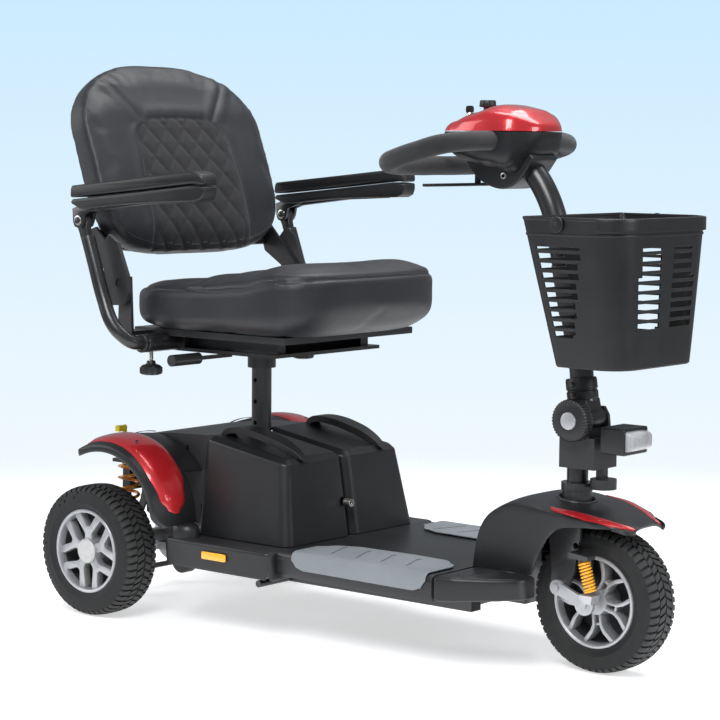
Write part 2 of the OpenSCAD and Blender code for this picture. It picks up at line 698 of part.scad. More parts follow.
// The wraparound loop, tilted down towards the rider
function loop_point(a, r) = let(
    x = (abs(cos(a)) < 1e-6 ? 0 : sign(cos(a)) * pow(abs(cos(a)), 0.45)) * bar_len,
    y = (abs(sin(a)) < 1e-6 ? 0 : sign(sin(a)) * pow(abs(sin(a)), 0.45)) * (bar_half - r))
  [bar_x + x * cos(bar_slope), y, bar_z + x * sin(bar_slope)];
module handlebar() {
  r = bar_d / 2;
  n = 40;
  sides = 12;
  path = [for (i = [0:n - 1]) loop_point(360 * (i + 0.5) / n, r)];
  up = [-sin(bar_slope), 0, cos(bar_slope)];
  rings = [for (i = [0:n - 1])
    let(t = unit(path[(i + 1) % n] - path[(i + n - 1) % n]), u = cross(t, up))
    for (k = [0:sides - 1]) path[i] + r * (cos(360 * k / sides) * u + sin(360 * k / sides) * up)];
  color("black") polyhedron(rings, [for (i = [0:n - 1]) for (k = [0:sides - 1])
    [i * sides + k, i * sides + (k + 1) % sides, ((i + 1) % n) * sides + (k + 1) % sides,
      ((i + 1) % n) * sides + k]], convexity = 6);
}
module key() {
  color("silver") {
    translate([key_x, 0, 848]) cylinder(r = 7, h = 31);
    block([key_x - 1.5, -10, 877], [key_x + 1.5, 10, 890]);
  }
}
module speed_knob() {
  color("black") {
    translate([speed_x, 0, 855]) cylinder(r = 7, h = 36);
    translate([speed_x, 0, 887.3]) cylinder(r = 14, h = 11.2);
  }
}
module horn_button() {
  color("red") translate([155, horn_y, horn_z]) rotate([0, -90, 0]) cylinder(r = 8, h = 15);
}
module throttle_lever() {
  color("black") {
    translate([196, 0, 761]) cylinder(r = 5, h = 34);
    block([186, -135, 760], [204, 135, 765]);
  }
}

// ---- Basket ----
// Plan outline of the basket between x0 and x1, with round front corners, drawn in by d
function basket_plan(x0, x1, y, r, d) = concat(
  arc(x1 - d - r, y - d - r, r, 0, 90, 6), arc(x0 + d + 12, y - d - 12, 12, 90, 180, 3),
  arc(x0 + d + 12, -y + d + 12, 12, 180, 270, 3), arc(x1 - d - r, -y + d + r, r, 270, 360, 6));
basket_x0 = 381;
basket_x1 = 561;
module basket_body(d, top) {
  hull() {
    translate([0, 0, basket_low + d]) linear_extrude(1)
      polygon(basket_plan(basket_x0 + 46, basket_x1 - 10, basket_half - 30, 40, d));
    translate([0, 0, top - 1]) linear_extrude(1)
      polygon(basket_plan(basket_x0, basket_x1, basket_half, 55, d));
  }
}
module basket() {
  color("black") difference() {
    basket_body(0, basket_rim);
    basket_body(3.5, basket_rim + 2);
    both_sides() bar_y(3.5 + fit, 449, 710, basket_half - 10, basket_half + 10);
  }
}
module basket_handle() {
  color("black") {
    translate([0, 0, 697]) linear_extrude(22) difference() {
      polygon(basket_plan(basket_x0, basket_x1 + 5, basket_half + 5, 59, 0));
      polygon(basket_plan(basket_x0, basket_x1 + 1.2, basket_half + 1.2, 55.5, 0));
      translate([300, -200]) square([142, 400]);
    }
    both_sides() bar_y(3.5, 449, 710, basket_half - 5, basket_half + 3);
  }
}

main_frame();
base_tray();
deck_panel();
deck_nose();
foot_pads();
side_reflectors();
rear_cover();
rear_fenders();
red_panels();
front_fender();
controller();
anti_tip_brackets();
charger_port();
battery_shell(-1);  // battery_shell_right
battery_shell(1);  // battery_shell_left
battery_cells(-1);  // battery_cells_right
battery_cells(1);  // battery_cells_left
transaxle();
drive_motor();
rear_springs();
tyre(rear_x, -wheel_y);  // rear_tyre_right
rim(rear_x, -wheel_y, -1, false);  // rear_rim_right
tyre(rear_x, wheel_y);  // rear_tyre_left
rim(rear_x, wheel_y, 1, false);  // rear_rim_left
anti_tip_rollers();
freewheel_lever();
seat_post();
seat_pan();
seat_cushion();
swivel_lever();
back_frame();
back_cushion();
back_covers();
arm_tube(-1);  // arm_tube_right
arm_tube(1);  // arm_tube_left
arm_pad(-1);  // arm_pad_right
arm_pad(1);  // arm_pad_left
clamp_knob(-1);  // clamp_knob_right
clamp_knob(1);  // clamp_knob_left
steering_stem();
steering_fork();
stem_bracket();
headlight_housing();
headlight_lens();
swing_arm();
front_springs();
tyre(front_x, 0);  // front_tyre
rim(front_x, 0, -1, true);  // front_rim
tiller_tube();
head_shell();
head_cover();
handlebar();
tilt_knob();
key();
speed_knob();
horn_button();
throttle_lever();
basket();
basket_handle();
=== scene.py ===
import bpy
from math import sin, cos, tan, pi, radians, sqrt, exp, atan2, hypot
from mathutils import Vector, Matrix
from mathutils.noise import noise as wobble
from mathutils.bvhtree import BVHTree


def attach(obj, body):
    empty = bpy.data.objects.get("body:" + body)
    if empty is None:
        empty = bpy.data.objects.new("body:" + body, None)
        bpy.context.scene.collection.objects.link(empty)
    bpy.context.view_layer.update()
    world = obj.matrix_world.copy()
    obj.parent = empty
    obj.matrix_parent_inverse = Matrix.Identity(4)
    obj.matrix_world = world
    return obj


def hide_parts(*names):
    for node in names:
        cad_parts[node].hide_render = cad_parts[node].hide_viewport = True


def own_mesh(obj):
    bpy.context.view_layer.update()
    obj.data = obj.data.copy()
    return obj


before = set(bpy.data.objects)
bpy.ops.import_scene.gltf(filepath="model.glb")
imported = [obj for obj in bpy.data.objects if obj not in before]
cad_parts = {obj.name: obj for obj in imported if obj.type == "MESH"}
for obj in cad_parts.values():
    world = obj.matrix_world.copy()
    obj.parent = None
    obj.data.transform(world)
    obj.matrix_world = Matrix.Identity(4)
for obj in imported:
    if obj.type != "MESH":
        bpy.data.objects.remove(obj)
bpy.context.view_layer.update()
scene = bpy.context.scene
mm = 0.001
axleZ = 0.1145


def deselectAll():
    for thing in list(bpy.context.selected_objects):
        thing.select_set(False)


def activate(*things):
    deselectAll()
    for thing in things:
        thing.select_set(True)
    bpy.context.view_layer.objects.active = things[0]


def applyModifiers(thing):
    activate(thing)
    for each in list(thing.modifiers):
        bpy.ops.object.modifier_apply(modifier=each.name)


def settle(thing):  # its place goes into the mesh
    activate(thing)
    bpy.ops.object.transform_apply(location=True, rotation=True, scale=True)


def mendNormals(thing, merge=0.00002):
    activate(thing)
    bpy.ops.object.mode_set(mode="EDIT")
    bpy.ops.mesh.select_all(action="SELECT")
    bpy.ops.mesh.remove_doubles(threshold=merge)
    bpy.ops.mesh.normals_make_consistent(inside=False)
    bpy.ops.object.mode_set(mode="OBJECT")


def smooth(thing, angle=35):
    activate(thing)
    bpy.ops.object.shade_smooth_by_angle(angle=radians(angle))


def bevelEdges(thing, width, segments=3, angle=30):
    soft = thing.modifiers.new("soft edge", "BEVEL")
    soft.width = width
    soft.segments = segments
    soft.limit_method = "ANGLE"
    soft.angle_limit = radians(angle)
    soft.use_clamp_overlap = True
    applyModifiers(thing)


def pickFaces(thing, wanted):  # leaves edit mode on the wanted faces
    activate(thing)
    bpy.ops.object.mode_set(mode="EDIT")
    bpy.ops.mesh.select_mode(type="FACE")
    bpy.ops.mesh.select_all(action="DESELECT")
    bpy.ops.object.mode_set(mode="OBJECT")
    for face in thing.data.polygons:
        face.select = bool(wanted(face))
    bpy.ops.object.mode_set(mode="EDIT")


def leaveEdit():
    bpy.ops.object.mode_set(mode="OBJECT")


def moveVerts(thing, shift):
    for vert in thing.data.vertices:
        vert.co = shift(vert.co)
    thing.data.update()


# A flat outline pulled out along one axis from low to high, with softened edges
def plate(name, outline, low, high, normal="y", bevel=0.0, segments=3, angle=30):
    deselectAll()
    bpy.ops.mesh.primitive_circle_add(vertices=len(outline), radius=0.1, fill_type="NGON")
    thing = bpy.context.object
    thing.name = name
    for vert, (a, b) in zip(thing.data.vertices, outline):
        vert.co = {"x": (low, a, b), "y": (a, low, b), "z": (a, b, low)}[normal]
    way = {"x": (high - low, 0, 0), "y": (0, high - low, 0), "z": (0, 0, high - low)}[normal]
    bpy.ops.object.mode_set(mode="EDIT")
    bpy.ops.mesh.select_all(action="SELECT")
    bpy.ops.mesh.extrude_region_move(TRANSFORM_OT_translate={"value": way})
    bpy.ops.mesh.select_all(action="SELECT")
    bpy.ops.mesh.normals_make_consistent(inside=False)
    leaveEdit()
    if bevel:
        bevelEdges(thing, bevel, segments, angle)
    smooth(thing)
    return thing


# A closed outline of (radius, along) turned round an axis through centre
def turned(name, outline, centre, axis="y", steps=64, angle=40):
    deselectAll()
    bpy.ops.mesh.primitive_circle_add(vertices=len(outline), radius=0.1, fill_type="NOTHING")
    thing = bpy.context.object
    thing.name = name
    c = Vector(centre)
    for vert, (r, h) in zip(thing.data.vertices, outline):
        vert.co = c + {"x": Vector((h, 0, r)), "y": Vector((0, h, r)), "z": Vector((r, 0, h))}[axis]
    bpy.ops.object.mode_set(mode="EDIT")
    bpy.ops.mesh.select_all(action="SELECT")
    line = {"x": (1, 0, 0), "y": (0, 1, 0), "z": (0, 0, 1)}[axis]
    bpy.ops.mesh.spin(steps=steps, angle=2 * pi, center=c, axis=line)
    bpy.ops.mesh.select_all(action="SELECT")
    bpy.ops.mesh.remove_doubles(threshold=0.00002)
    bpy.ops.mesh.normals_make_consistent(inside=False)
    leaveEdit()
    smooth(thing, angle)
    return thing


def tube(name, points, radius, closed=False, sides=5, steps=8, section=None, handle="AUTO"):
    deselectAll()
    bpy.ops.curve.primitive_bezier_curve_add()
    line = bpy.context.object
    line.name = name
    spline = line.data.splines[0]
    spline.bezier_points.add(len(points) - 2)
    for knot, place in zip(spline.bezier_points, points):
        knot.co = place
        knot.handle_left_type = handle
        knot.handle_right_type = handle
        knot.tilt = 0
    spline.use_cyclic_u = closed
    line.data.dimensions = "3D"
    line.data.resolution_u = steps
    if section:
        line.data.bevel_mode = "OBJECT"
        line.data.bevel_object = section
    else:
        line.data.bevel_depth = radius
        line.data.bevel_resolution = sides
    line.data.use_fill_caps = not closed
    activate(line)
    bpy.ops.object.convert(target="MESH")
    thing = bpy.context.object
    thing.name = name
    settle(thing)
    mendNormals(thing)
    smooth(thing, 40)
    return thing


def roundBar(name, radius, length, place, axis="z", bevel=0.0012, sides=40, segments=3):
    turn = {"z": (0, 0, 0), "y": (pi / 2, 0, 0), "x": (0, pi / 2, 0)}[axis]
    deselectAll()
    bpy.ops.mesh.primitive_cylinder_add(vertices=sides, radius=radius, depth=length, location=place, rotation=turn)
    thing = bpy.context.object
    thing.name = name
    settle(thing)
    bevelEdges(thing, bevel, segments, 40)
    smooth(thing)
    return thing


def block(name, low, high, bevel=0.0015, segments=3):
    middle = [(a + b) / 2 for a, b in zip(low, high)]
    deselectAll()
    bpy.ops.mesh.primitive_cube_add(size=1, location=middle, scale=[b - a for a, b in zip(low, high)])
    thing = bpy.context.object
    thing.name = name
    settle(thing)
    bevelEdges(thing, bevel, segments)
    smooth(thing)
    return thing


def joined(name, things):
    activate(*things)
    if len(things) > 1:
        bpy.ops.object.join()
    thing = bpy.context.object
    thing.name = name
    thing.data.name = name
    return thing


def carve(thing, tools):  # cuts the tools' shapes out of the thing
    for tool in tools:
        cut = thing.modifiers.new("cut", "BOOLEAN")
        cut.operation = "DIFFERENCE"
        cut.solver = "EXACT"
        cut.object = tool
        applyModifiers(thing)
    deselectAll()
    for tool in tools:
        tool.select_set(True)
    bpy.ops.object.delete()


def turnedAbout(thing, angle, axis, centre):
    spot = Vector(centre)
    turn = Matrix.Rotation(angle, 4, axis)
    moveVerts(thing, lambda c: spot + turn @ (c - spot))


def arcPoints(cx, cy, r, a0, a1, n=6):
    return [(cx + r * cos(radians(a0 + (a1 - a0) * i / n)),
        cy + r * sin(radians(a0 + (a1 - a0) * i / n))) for i in range(n + 1)]


def roundRect(x0, x1, y0, y1, r, n=5):
    return (arcPoints(x1 - r, y1 - r, r, 0, 90, n) + arcPoints(x0 + r, y1 - r, r, 90, 180, n)
            + arcPoints(x0 + r, y0 + r, r, 180, 270, n) + arcPoints(x1 - r, y0 + r, r, 270, 360, n))


def inMetres(points):
    return [tuple(v * mm for v in p) for p in points]


def smoothLine(points, n=8):  # a rounded line through flat points
    out = []
    for i in range(len(points) - 1):
        p = [Vector(points[max(i - 1, 0)]), Vector(points[i]), Vector(points[i + 1]),
            Vector(points[min(i + 2, len(points) - 1)])]
        for k in range(n):
            t = k / n
            out.append(tuple(0.5 * ((2 * p[1]) + (p[2] - p[0]) * t + (2 * p[0] - 5 * p[1] + 4 * p[2] - p[3]) * t * t
                                    + (3 * p[1] - p[0] - 3 * p[2] + p[3]) * t ** 3)))
    out.append(tuple(points[-1]))
    return out


def steps01(x, points):  # reads a value off a table of (x, value), joined by straight lines
    for (x0, v0), (x1, v1) in zip(points, points[1:]):
        if x <= x1:
            t = max(0.0, (x - x0) / (x1 - x0))
            return v0 + (v1 - v0) * t
    return points[-1][1]


def easeLine(x, points):  # the same, with eased joints
    for (x0, v0), (x1, v1) in zip(points, points[1:]):
        if x <= x1:
            t = max(0.0, (x - x0) / (x1 - x0))
            t = t * t * (3 - 2 * t)
            return v0 + (v1 - v0) * t
    return points[-1][1]


def newMaterial(name):
    made = bpy.data.materials.new(name)
    made.use_nodes = True
    nodes = made.node_tree.nodes
    return made, nodes, made.node_tree.links, nodes["Principled BSDF"]


# Every finish starts from a mottled colour, an uneven gloss and a fine surface
def finishLike(name, colour, tone, rough, mottle=40, grain=900, depth=0.0002, strength=0.35, metal=0.0, coat=0.0,
               coatRough=0.1, sheen=0.0, specular=0.5, roughSwing=0.08, cells=False, edge=0.0, flake=0.0):
    made, nodes, links, skin = newMaterial(name)
    place = nodes.new("ShaderNodeTexCoord")
    cloud = nodes.new("ShaderNodeTexNoise")
    cloud.inputs["Scale"].default_value = mottle
    cloud.inputs["Detail"].default_value = 5
    links.new(place.outputs["Object"], cloud.inputs["Vector"])
    ramp = nodes.new("ShaderNodeValToRGB")
    ramp.color_ramp.elements[0].position = 0.3
    ramp.color_ramp.elements[1].position = 0.72
    ramp.color_ramp.elements[0].color = (*colour, 1)
    ramp.color_ramp.elements[1].color = (*tone, 1)
    links.new(cloud.outputs["Fac"], ramp.inputs["Fac"])
    colourOut = ramp.outputs["Color"]
    if edge:
        worn = nodes.new("ShaderNodeNewGeometry")
        rub = nodes.new("ShaderNodeMapRange")
        rub.inputs["From Min"].default_value = 0.53
        rub.inputs["From Max"].default_value = 0.62
        rub.inputs["To Max"].default_value = edge
        links.new(worn.outputs["Pointiness"], rub.inputs["Value"])
        blend = nodes.new("ShaderNodeMix")
        blend.data_type = "RGBA"
        blend.inputs[7].default_value = (*[min(1, c * 2.2 + 0.03) for c in tone], 1)
        links.new(rub.outputs["Result"], blend.inputs[0])
        links.new(colourOut, blend.inputs[6])
        colourOut = blend.outputs[2]
    if flake:
        spark = nodes.new("ShaderNodeTexVoronoi")
        spark.inputs["Scale"].default_value = 2600
        links.new(place.outputs["Object"], spark.inputs["Vector"])
        tint = nodes.new("ShaderNodeMix")
        tint.data_type = "RGBA"
        tint.blend_type = "ADD"
        tint.inputs[0].default_value = flake
        links.new(colourOut, tint.inputs[6])
        links.new(spark.outputs["Color"], tint.inputs[7])
        colourOut = tint.outputs[2]
    links.new(colourOut, skin.inputs["Base Color"])
    fine = nodes.new("ShaderNodeTexVoronoi" if cells else "ShaderNodeTexNoise")
    fine.inputs["Scale"].default_value = grain
    links.new(place.outputs["Object"], fine.inputs["Vector"])
    gloss = nodes.new("ShaderNodeMapRange")
    gloss.inputs["To Min"].default_value = max(0.02, rough - roughSwing)
    gloss.inputs["To Max"].default_value = min(1, rough + roughSwing)
    links.new(cloud.outputs["Fac"], gloss.inputs["Value"])
    links.new(gloss.outputs["Result"], skin.inputs["Roughness"])
    bump = nodes.new("ShaderNodeBump")
    bump.inputs["Distance"].default_value = depth
    bump.inputs["Strength"].default_value = strength
    links.new(fine.outputs["Distance" if cells else "Fac"], bump.inputs["Height"])
    links.new(bump.outputs["Normal"], skin.inputs["Normal"])
    skin.inputs["Metallic"].default_value = metal
    skin.inputs["Coat Weight"].default_value = coat
    skin.inputs["Coat Roughness"].default_value = coatRough
    skin.inputs["Sheen Weight"].default_value = sheen
    skin.inputs["Specular IOR Level"].default_value = specular
    return made


charcoalPlastic = finishLike("charcoal textured plastic", (0.0115, 0.0117, 0.0132), (0.0160, 0.0162, 0.0180), 0.38,
    mottle=14,
                             grain=1500, depth=0.00025, strength=0.3, edge=0.35, specular=0.42)
mouldedBlack = finishLike("moulded black plastic", (0.0080, 0.0080, 0.0088), (0.0120, 0.0120, 0.0128), 0.40,
    mottle=22,
                          grain=1700, depth=0.0002, strength=0.25, edge=0.4)
powderCoat = finishLike("black powder coat", (0.009, 0.009, 0.010), (0.014, 0.014, 0.015), 0.34, mottle=30,
    grain=1100,
                        depth=0.00015, strength=0.3, coat=0.35, coatRough=0.18, edge=0.5)
deckGrey = finishLike("grey foot pad rubber", (0.205, 0.225, 0.245), (0.235, 0.255, 0.275), 0.62, mottle=18,
    grain=1300,
                      depth=0.0003, strength=0.45, cells=True)
castSilver = finishLike("silver painted casting", (0.40, 0.405, 0.425), (0.47, 0.475, 0.49), 0.38, mottle=60,
    grain=1200,
                        depth=0.0002, strength=0.25, metal=0.55, coat=0.25, coatRough=0.25, edge=0.25)
hubSilver = finishLike("pale hub casting", (0.52, 0.52, 0.52), (0.62, 0.62, 0.61), 0.5, mottle=240, grain=900,
                       depth=0.0004, strength=0.6, metal=0.35, cells=True)
# near-black casting for the rim's inner barrel and back web: painted shade in the rim's hollows, not a darker metal
wheelWell = finishLike("shadowed casting", (0.035, 0.036, 0.039), (0.05, 0.051, 0.055), 0.6, mottle=40, metal=0.2)
zincSteel = finishLike("zinc plated steel", (0.62, 0.61, 0.56), (0.74, 0.74, 0.70), 0.28, mottle=180, grain=700,
                       depth=0.0001, metal=1.0, edge=0.2)
tyreRubber = finishLike("tyre rubber", (0.012, 0.012, 0.013), (0.021, 0.021, 0.021), 0.66, mottle=55, grain=1500,
                        depth=0.0003, strength=0.4, roughSwing=0.14, edge=0.7, specular=0.35)
rollerRubber = finishLike("roller rubber", (0.02, 0.02, 0.02), (0.035, 0.034, 0.033), 0.6, mottle=70, grain=900)
gripFoam = finishLike("closed cell foam grip", (0.016, 0.016, 0.018), (0.024, 0.024, 0.027), 0.82, mottle=50,
    grain=1500,
                      depth=0.0005, strength=0.55, cells=True, sheen=0.25, specular=0.3)
candyRed = finishLike("candy red lacquer", (0.52, 0.002, 0.008), (0.62, 0.006, 0.012), 0.32, mottle=9, grain=1400,
                      depth=0.00005, strength=0.1, metal=0.35, coat=1.0, coatRough=0.03, flake=0.025)
amberLens = finishLike("amber reflector", (0.95, 0.42, 0.01), (1.0, 0.50, 0.02), 0.25, mottle=300, grain=420,
                       depth=0.0006, strength=0.7, coat=1.0, coatRough=0.05, cells=True)
springAmber = finishLike("amber spring coating", (0.80, 0.24, 0.01), (0.92, 0.33, 0.015), 0.28, mottle=60, grain=900,
                         coat=0.8, coatRough=0.1, edge=0.2)
springYellow = finishLike("yellow spring coating", (0.95, 0.38, 0.01), (1.0, 0.47, 0.02), 0.28, mottle=60, grain=900,
                          coat=0.8, coatRough=0.1, edge=0.2)
leverYellow = finishLike("yellow lever plastic", (0.62, 0.45, 0.004), (0.70, 0.53, 0.01), 0.36, mottle=60, grain=1200,
                         coat=0.3)
signalRed = finishLike("red button plastic", (0.50, 0.02, 0.02), (0.60, 0.035, 0.03), 0.3, mottle=80, coat=0.5)
threadGrey = finishLike("grey sewing thread", (0.16, 0.165, 0.18), (0.24, 0.245, 0.26), 0.8, mottle=600, grain=2500,
                        depth=0.0003, sheen=0.3)
casePlastic = finishLike("battery case", (0.06, 0.065, 0.075), (0.09, 0.095, 0.105), 0.4, mottle=40)


# Grained upholstery: cells for the pebble, with the colour darkened in the pebble creases as painted shade, a second
# finer wrinkle, and a soft sheen
def vinylLike(name, colour, tone, rough, pebble, depth, sheen):
    made, nodes, links, skin = newMaterial(name)
    place = nodes.new("ShaderNodeTexCoord")
    cloud = nodes.new("ShaderNodeTexNoise")
    cloud.inputs["Scale"].default_value = 11
    cloud.inputs["Detail"].default_value = 6
    links.new(place.outputs["Object"], cloud.inputs["Vector"])
    ramp = nodes.new("ShaderNodeValToRGB")
    ramp.color_ramp.elements[0].position = 0.3
    ramp.color_ramp.elements[1].position = 0.75
    ramp.color_ramp.elements[0].color = (*colour, 1)
    ramp.color_ramp.elements[1].color = (*tone, 1)
    links.new(cloud.outputs["Fac"], ramp.inputs["Fac"])
    cell = nodes.new("ShaderNodeTexVoronoi")
    cell.feature = "DISTANCE_TO_EDGE"
    cell.inputs["Scale"].default_value = pebble
    links.new(place.outputs["Object"], cell.inputs["Vector"])
    crease = nodes.new("ShaderNodeMapRange")
    crease.inputs["From Max"].default_value = 0.18
    crease.inputs["To Min"].default_value = 0.72
    links.new(cell.outputs["Distance"], crease.inputs["Value"])
    # colour multiplied down along the cell edges: painted shade in the grain's creases
    creaseShade = nodes.new("ShaderNodeMix")
    creaseShade.data_type = "RGBA"
    creaseShade.blend_type = "MULTIPLY"
    creaseShade.inputs[0].default_value = 0.6
    links.new(ramp.outputs["Color"], creaseShade.inputs[6])
    links.new(crease.outputs["Result"], creaseShade.inputs[7])
    links.new(creaseShade.outputs[2], skin.inputs["Base Color"])
    fine = nodes.new("ShaderNodeTexNoise")
    fine.inputs["Scale"].default_value = pebble * 2.4
    links.new(place.outputs["Object"], fine.inputs["Vector"])
    heap = nodes.new("ShaderNodeMath")
    heap.operation = "MULTIPLY_ADD"
    heap.inputs[1].default_value = 0.35
    links.new(fine.outputs["Fac"], heap.inputs[0])
    links.new(crease.outputs["Result"], heap.inputs[2])
    bump = nodes.new("ShaderNodeBump")
    bump.inputs["Distance"].default_value = depth
    bump.inputs["Strength"].default_value = 0.6
    links.new(heap.outputs["Value"], bump.inputs["Height"])
    links.new(bump.outputs["Normal"], skin.inputs["Normal"])
    gloss = nodes.new("ShaderNodeMapRange")
    gloss.inputs["To Min"].default_value = rough - 0.08
    gloss.inputs["To Max"].default_value = rough + 0.1
    links.new(cloud.outputs["Fac"], gloss.inputs["Value"])
    links.new(gloss.outputs["Result"], skin.inputs["Roughness"])
    skin.inputs["Sheen Weight"].default_value = sheen
    skin.inputs["Sheen Roughness"].default_value = 0.45
    return made


seatVinyl = vinylLike("grained seat vinyl", (0.0125, 0.0135, 0.0170), (0.0175, 0.0188, 0.0230), 0.44, 620, 0.00035,
    0.05)
quiltSuede = vinylLike("quilted centre panel", (0.0075, 0.0075, 0.0095), (0.0110, 0.0110, 0.0135), 0.70, 900, 0.0004,
    0.12)


def clearLens():
    made, nodes, links, skin = newMaterial("clear ribbed lens")
    place = nodes.new("ShaderNodeTexCoord")
    ribs = nodes.new("ShaderNodeTexWave")
    ribs.bands_direction = "Y"
    ribs.inputs["Scale"].default_value = 60
    links.new(place.outputs["Object"], ribs.inputs["Vector"])
    bump = nodes.new("ShaderNodeBump")
    bump.inputs["Distance"].default_value = 0.0006
    bump.inputs["Strength"].default_value = 0.5
    links.new(ribs.outputs["Fac"], bump.inputs["Height"])
    links.new(bump.outputs["Normal"], skin.inputs["Normal"])
    skin.inputs["Base Color"].default_value = (0.93, 0.95, 0.97, 1)
    skin.inputs["Roughness"].default_value = 0.08
    skin.inputs["Transmission Weight"].default_value = 0.75
    skin.inputs["IOR"].default_value = 1.49
    return made


lensClear = clearLens()


def dress(thing, made):
    thing.data.materials.clear()
    thing.data.materials.append(made)


# The end of every piece: its finish, the body that it rides on, and the plain nodes that it stands for
def finishPiece(thing, made, body, nodes=(), keepMaterials=False):
    settle(thing)
    if not keepMaterials:
        dress(thing, made)
    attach(thing, body)
    if nodes:
        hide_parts(*nodes)
    return thing


print("helpers and finishes ready")


# The room: a pale floor that runs into a pale blue distance, three soft lights and the view
room = dict(floorSize=12, floorPale=(0.88, 0.89, 0.90), floorLift=0.55, farBlue=(0.60, 0.83, 1.0), farBright=1.0,
    around=0.30,
            keyPower=95, fillPower=30, backPower=75, frontPower=30)


def softLight(name, place, aim, size, power, colour=(1, 1, 1)):
    deselectAll()
    bpy.ops.object.light_add(type="AREA", location=place)
    lamp = bpy.context.object
    lamp.name = name
    lamp.data.energy = power
    lamp.data.size = size
    lamp.data.color = colour
    lamp.rotation_euler = (Vector(aim) - Vector(place)).to_track_quat("-Z", "Y").to_euler()


def makeRoom():
    deselectAll()
    bpy.ops.mesh.primitive_plane_add(size=room["floorSize"], location=(0, 0, 0))
    floor = bpy.context.object
    floor.name = "studioFloor"
    pale, nodes, links, skin = newMaterial("pale floor")
    place = nodes.new("ShaderNodeTexCoord")
    dist = nodes.new("ShaderNodeVectorMath")
    dist.operation = "LENGTH"
    links.new(place.outputs["Object"], dist.inputs[0])
    fade = nodes.new("ShaderNodeMapRange")
    fade.interpolation_type = "SMOOTHERSTEP"
    fade.inputs["From Min"].default_value = 0.75
    fade.inputs["From Max"].default_value = 2.4
    links.new(dist.outputs["Value"], fade.inputs["Value"])
    skin.inputs["Base Color"].default_value = (*room["floorPale"], 1)
    skin.inputs["Roughness"].default_value = 0.75
    skin.inputs["Emission Color"].default_value = (1, 1, 1, 1)
    skin.inputs["Emission Strength"].default_value = room["floorLift"]
    clear = nodes.new("ShaderNodeBsdfTransparent")
    both = nodes.new("ShaderNodeMixShader")
    links.new(fade.outputs["Result"], both.inputs[0])
    links.new(skin.outputs[0], both.inputs[1])
    links.new(clear.outputs[0], both.inputs[2])
    links.new(both.outputs[0], nodes["Material Output"].inputs["Surface"])
    dress(floor, pale)
    sky = bpy.data.worlds.new("pale sky")
    sky.use_nodes = True
    nodes, links = sky.node_tree.nodes, sky.node_tree.links
    seen = nodes["Background"]
    way = nodes.new("ShaderNodeTexCoord")
    parts = nodes.new("ShaderNodeSeparateXYZ")
    links.new(way.outputs["Generated"], parts.inputs[0])
    rise = nodes.new("ShaderNodeMapRange")
    rise.inputs["From Min"].default_value = -0.23
    rise.inputs["From Max"].default_value = 0.06
    links.new(parts.outputs["Z"], rise.inputs["Value"])
    tint = nodes.new("ShaderNodeMix")
    tint.data_type = "RGBA"
    tint.inputs[6].default_value = (1.0, 1.0, 1.0, 1)
    tint.inputs[7].default_value = (*room["farBlue"], 1)
    links.new(rise.outputs["Result"], tint.inputs[0])
    links.new(tint.outputs[2], seen.inputs["Color"])
    seen.inputs["Strength"].default_value = room["farBright"]
    dim = nodes.new("ShaderNodeBackground")
    dim.inputs["Color"].default_value = (0.86, 0.93, 1.0, 1)
    dim.inputs["Strength"].default_value = room["around"]
    ray = nodes.new("ShaderNodeLightPath")
    pick = nodes.new("ShaderNodeMixShader")
    links.new(ray.outputs["Is Camera Ray"], pick.inputs[0])
    links.new(dim.outputs[0], pick.inputs[1])
    links.new(seen.outputs[0], pick.inputs[2])
    links.new(pick.outputs[0], nodes["World Output"].inputs["Surface"])
    scene.world = sky
    scene.view_settings.view_transform = "Standard"
    softLight("key light", (1.2, -2.6, 2.9), (0, 0, 0.4), 1.6, room["keyPower"])
    softLight("fill light", (-2.6, -1.6, 1.6), (0, 0, 0.4), 2.0, room["fillPower"])
    softLight("top light", (0.2, 0.9, 3.2), (0, 0, 0.3), 2.2, room["backPower"])
    softLight("front light", (3.2, 0.6, 1.5), (0.2, 0, 0.4), 1.2, room["frontPower"])
    deselectAll()
    bpy.ops.object.camera_add(location=(2.3946, -2.9634, 0.834))
    view = bpy.context.object
    view.name = "studioCamera"
    view.data.sensor_width = 36
    view.data.lens = 113.2
    turn = Matrix.Rotation(radians(39.508), 4, "Z") @ Matrix.Rotation(radians(90 - 5.568), 4,
        "X") @ Matrix.Rotation(radians(0.458), 4, "Z")
    view.matrix_world = Matrix.Translation((2.3946, -2.9634, 0.834)) @ turn
    scene.camera = view


makeRoom()
print("room, lights and view ready")

# Tyres: a smooth body turned round the axle, then staggered blocks raised out of its crown
tyreFacts = dict(blocks=54, lugDepth=0.0029, lean=0.55)


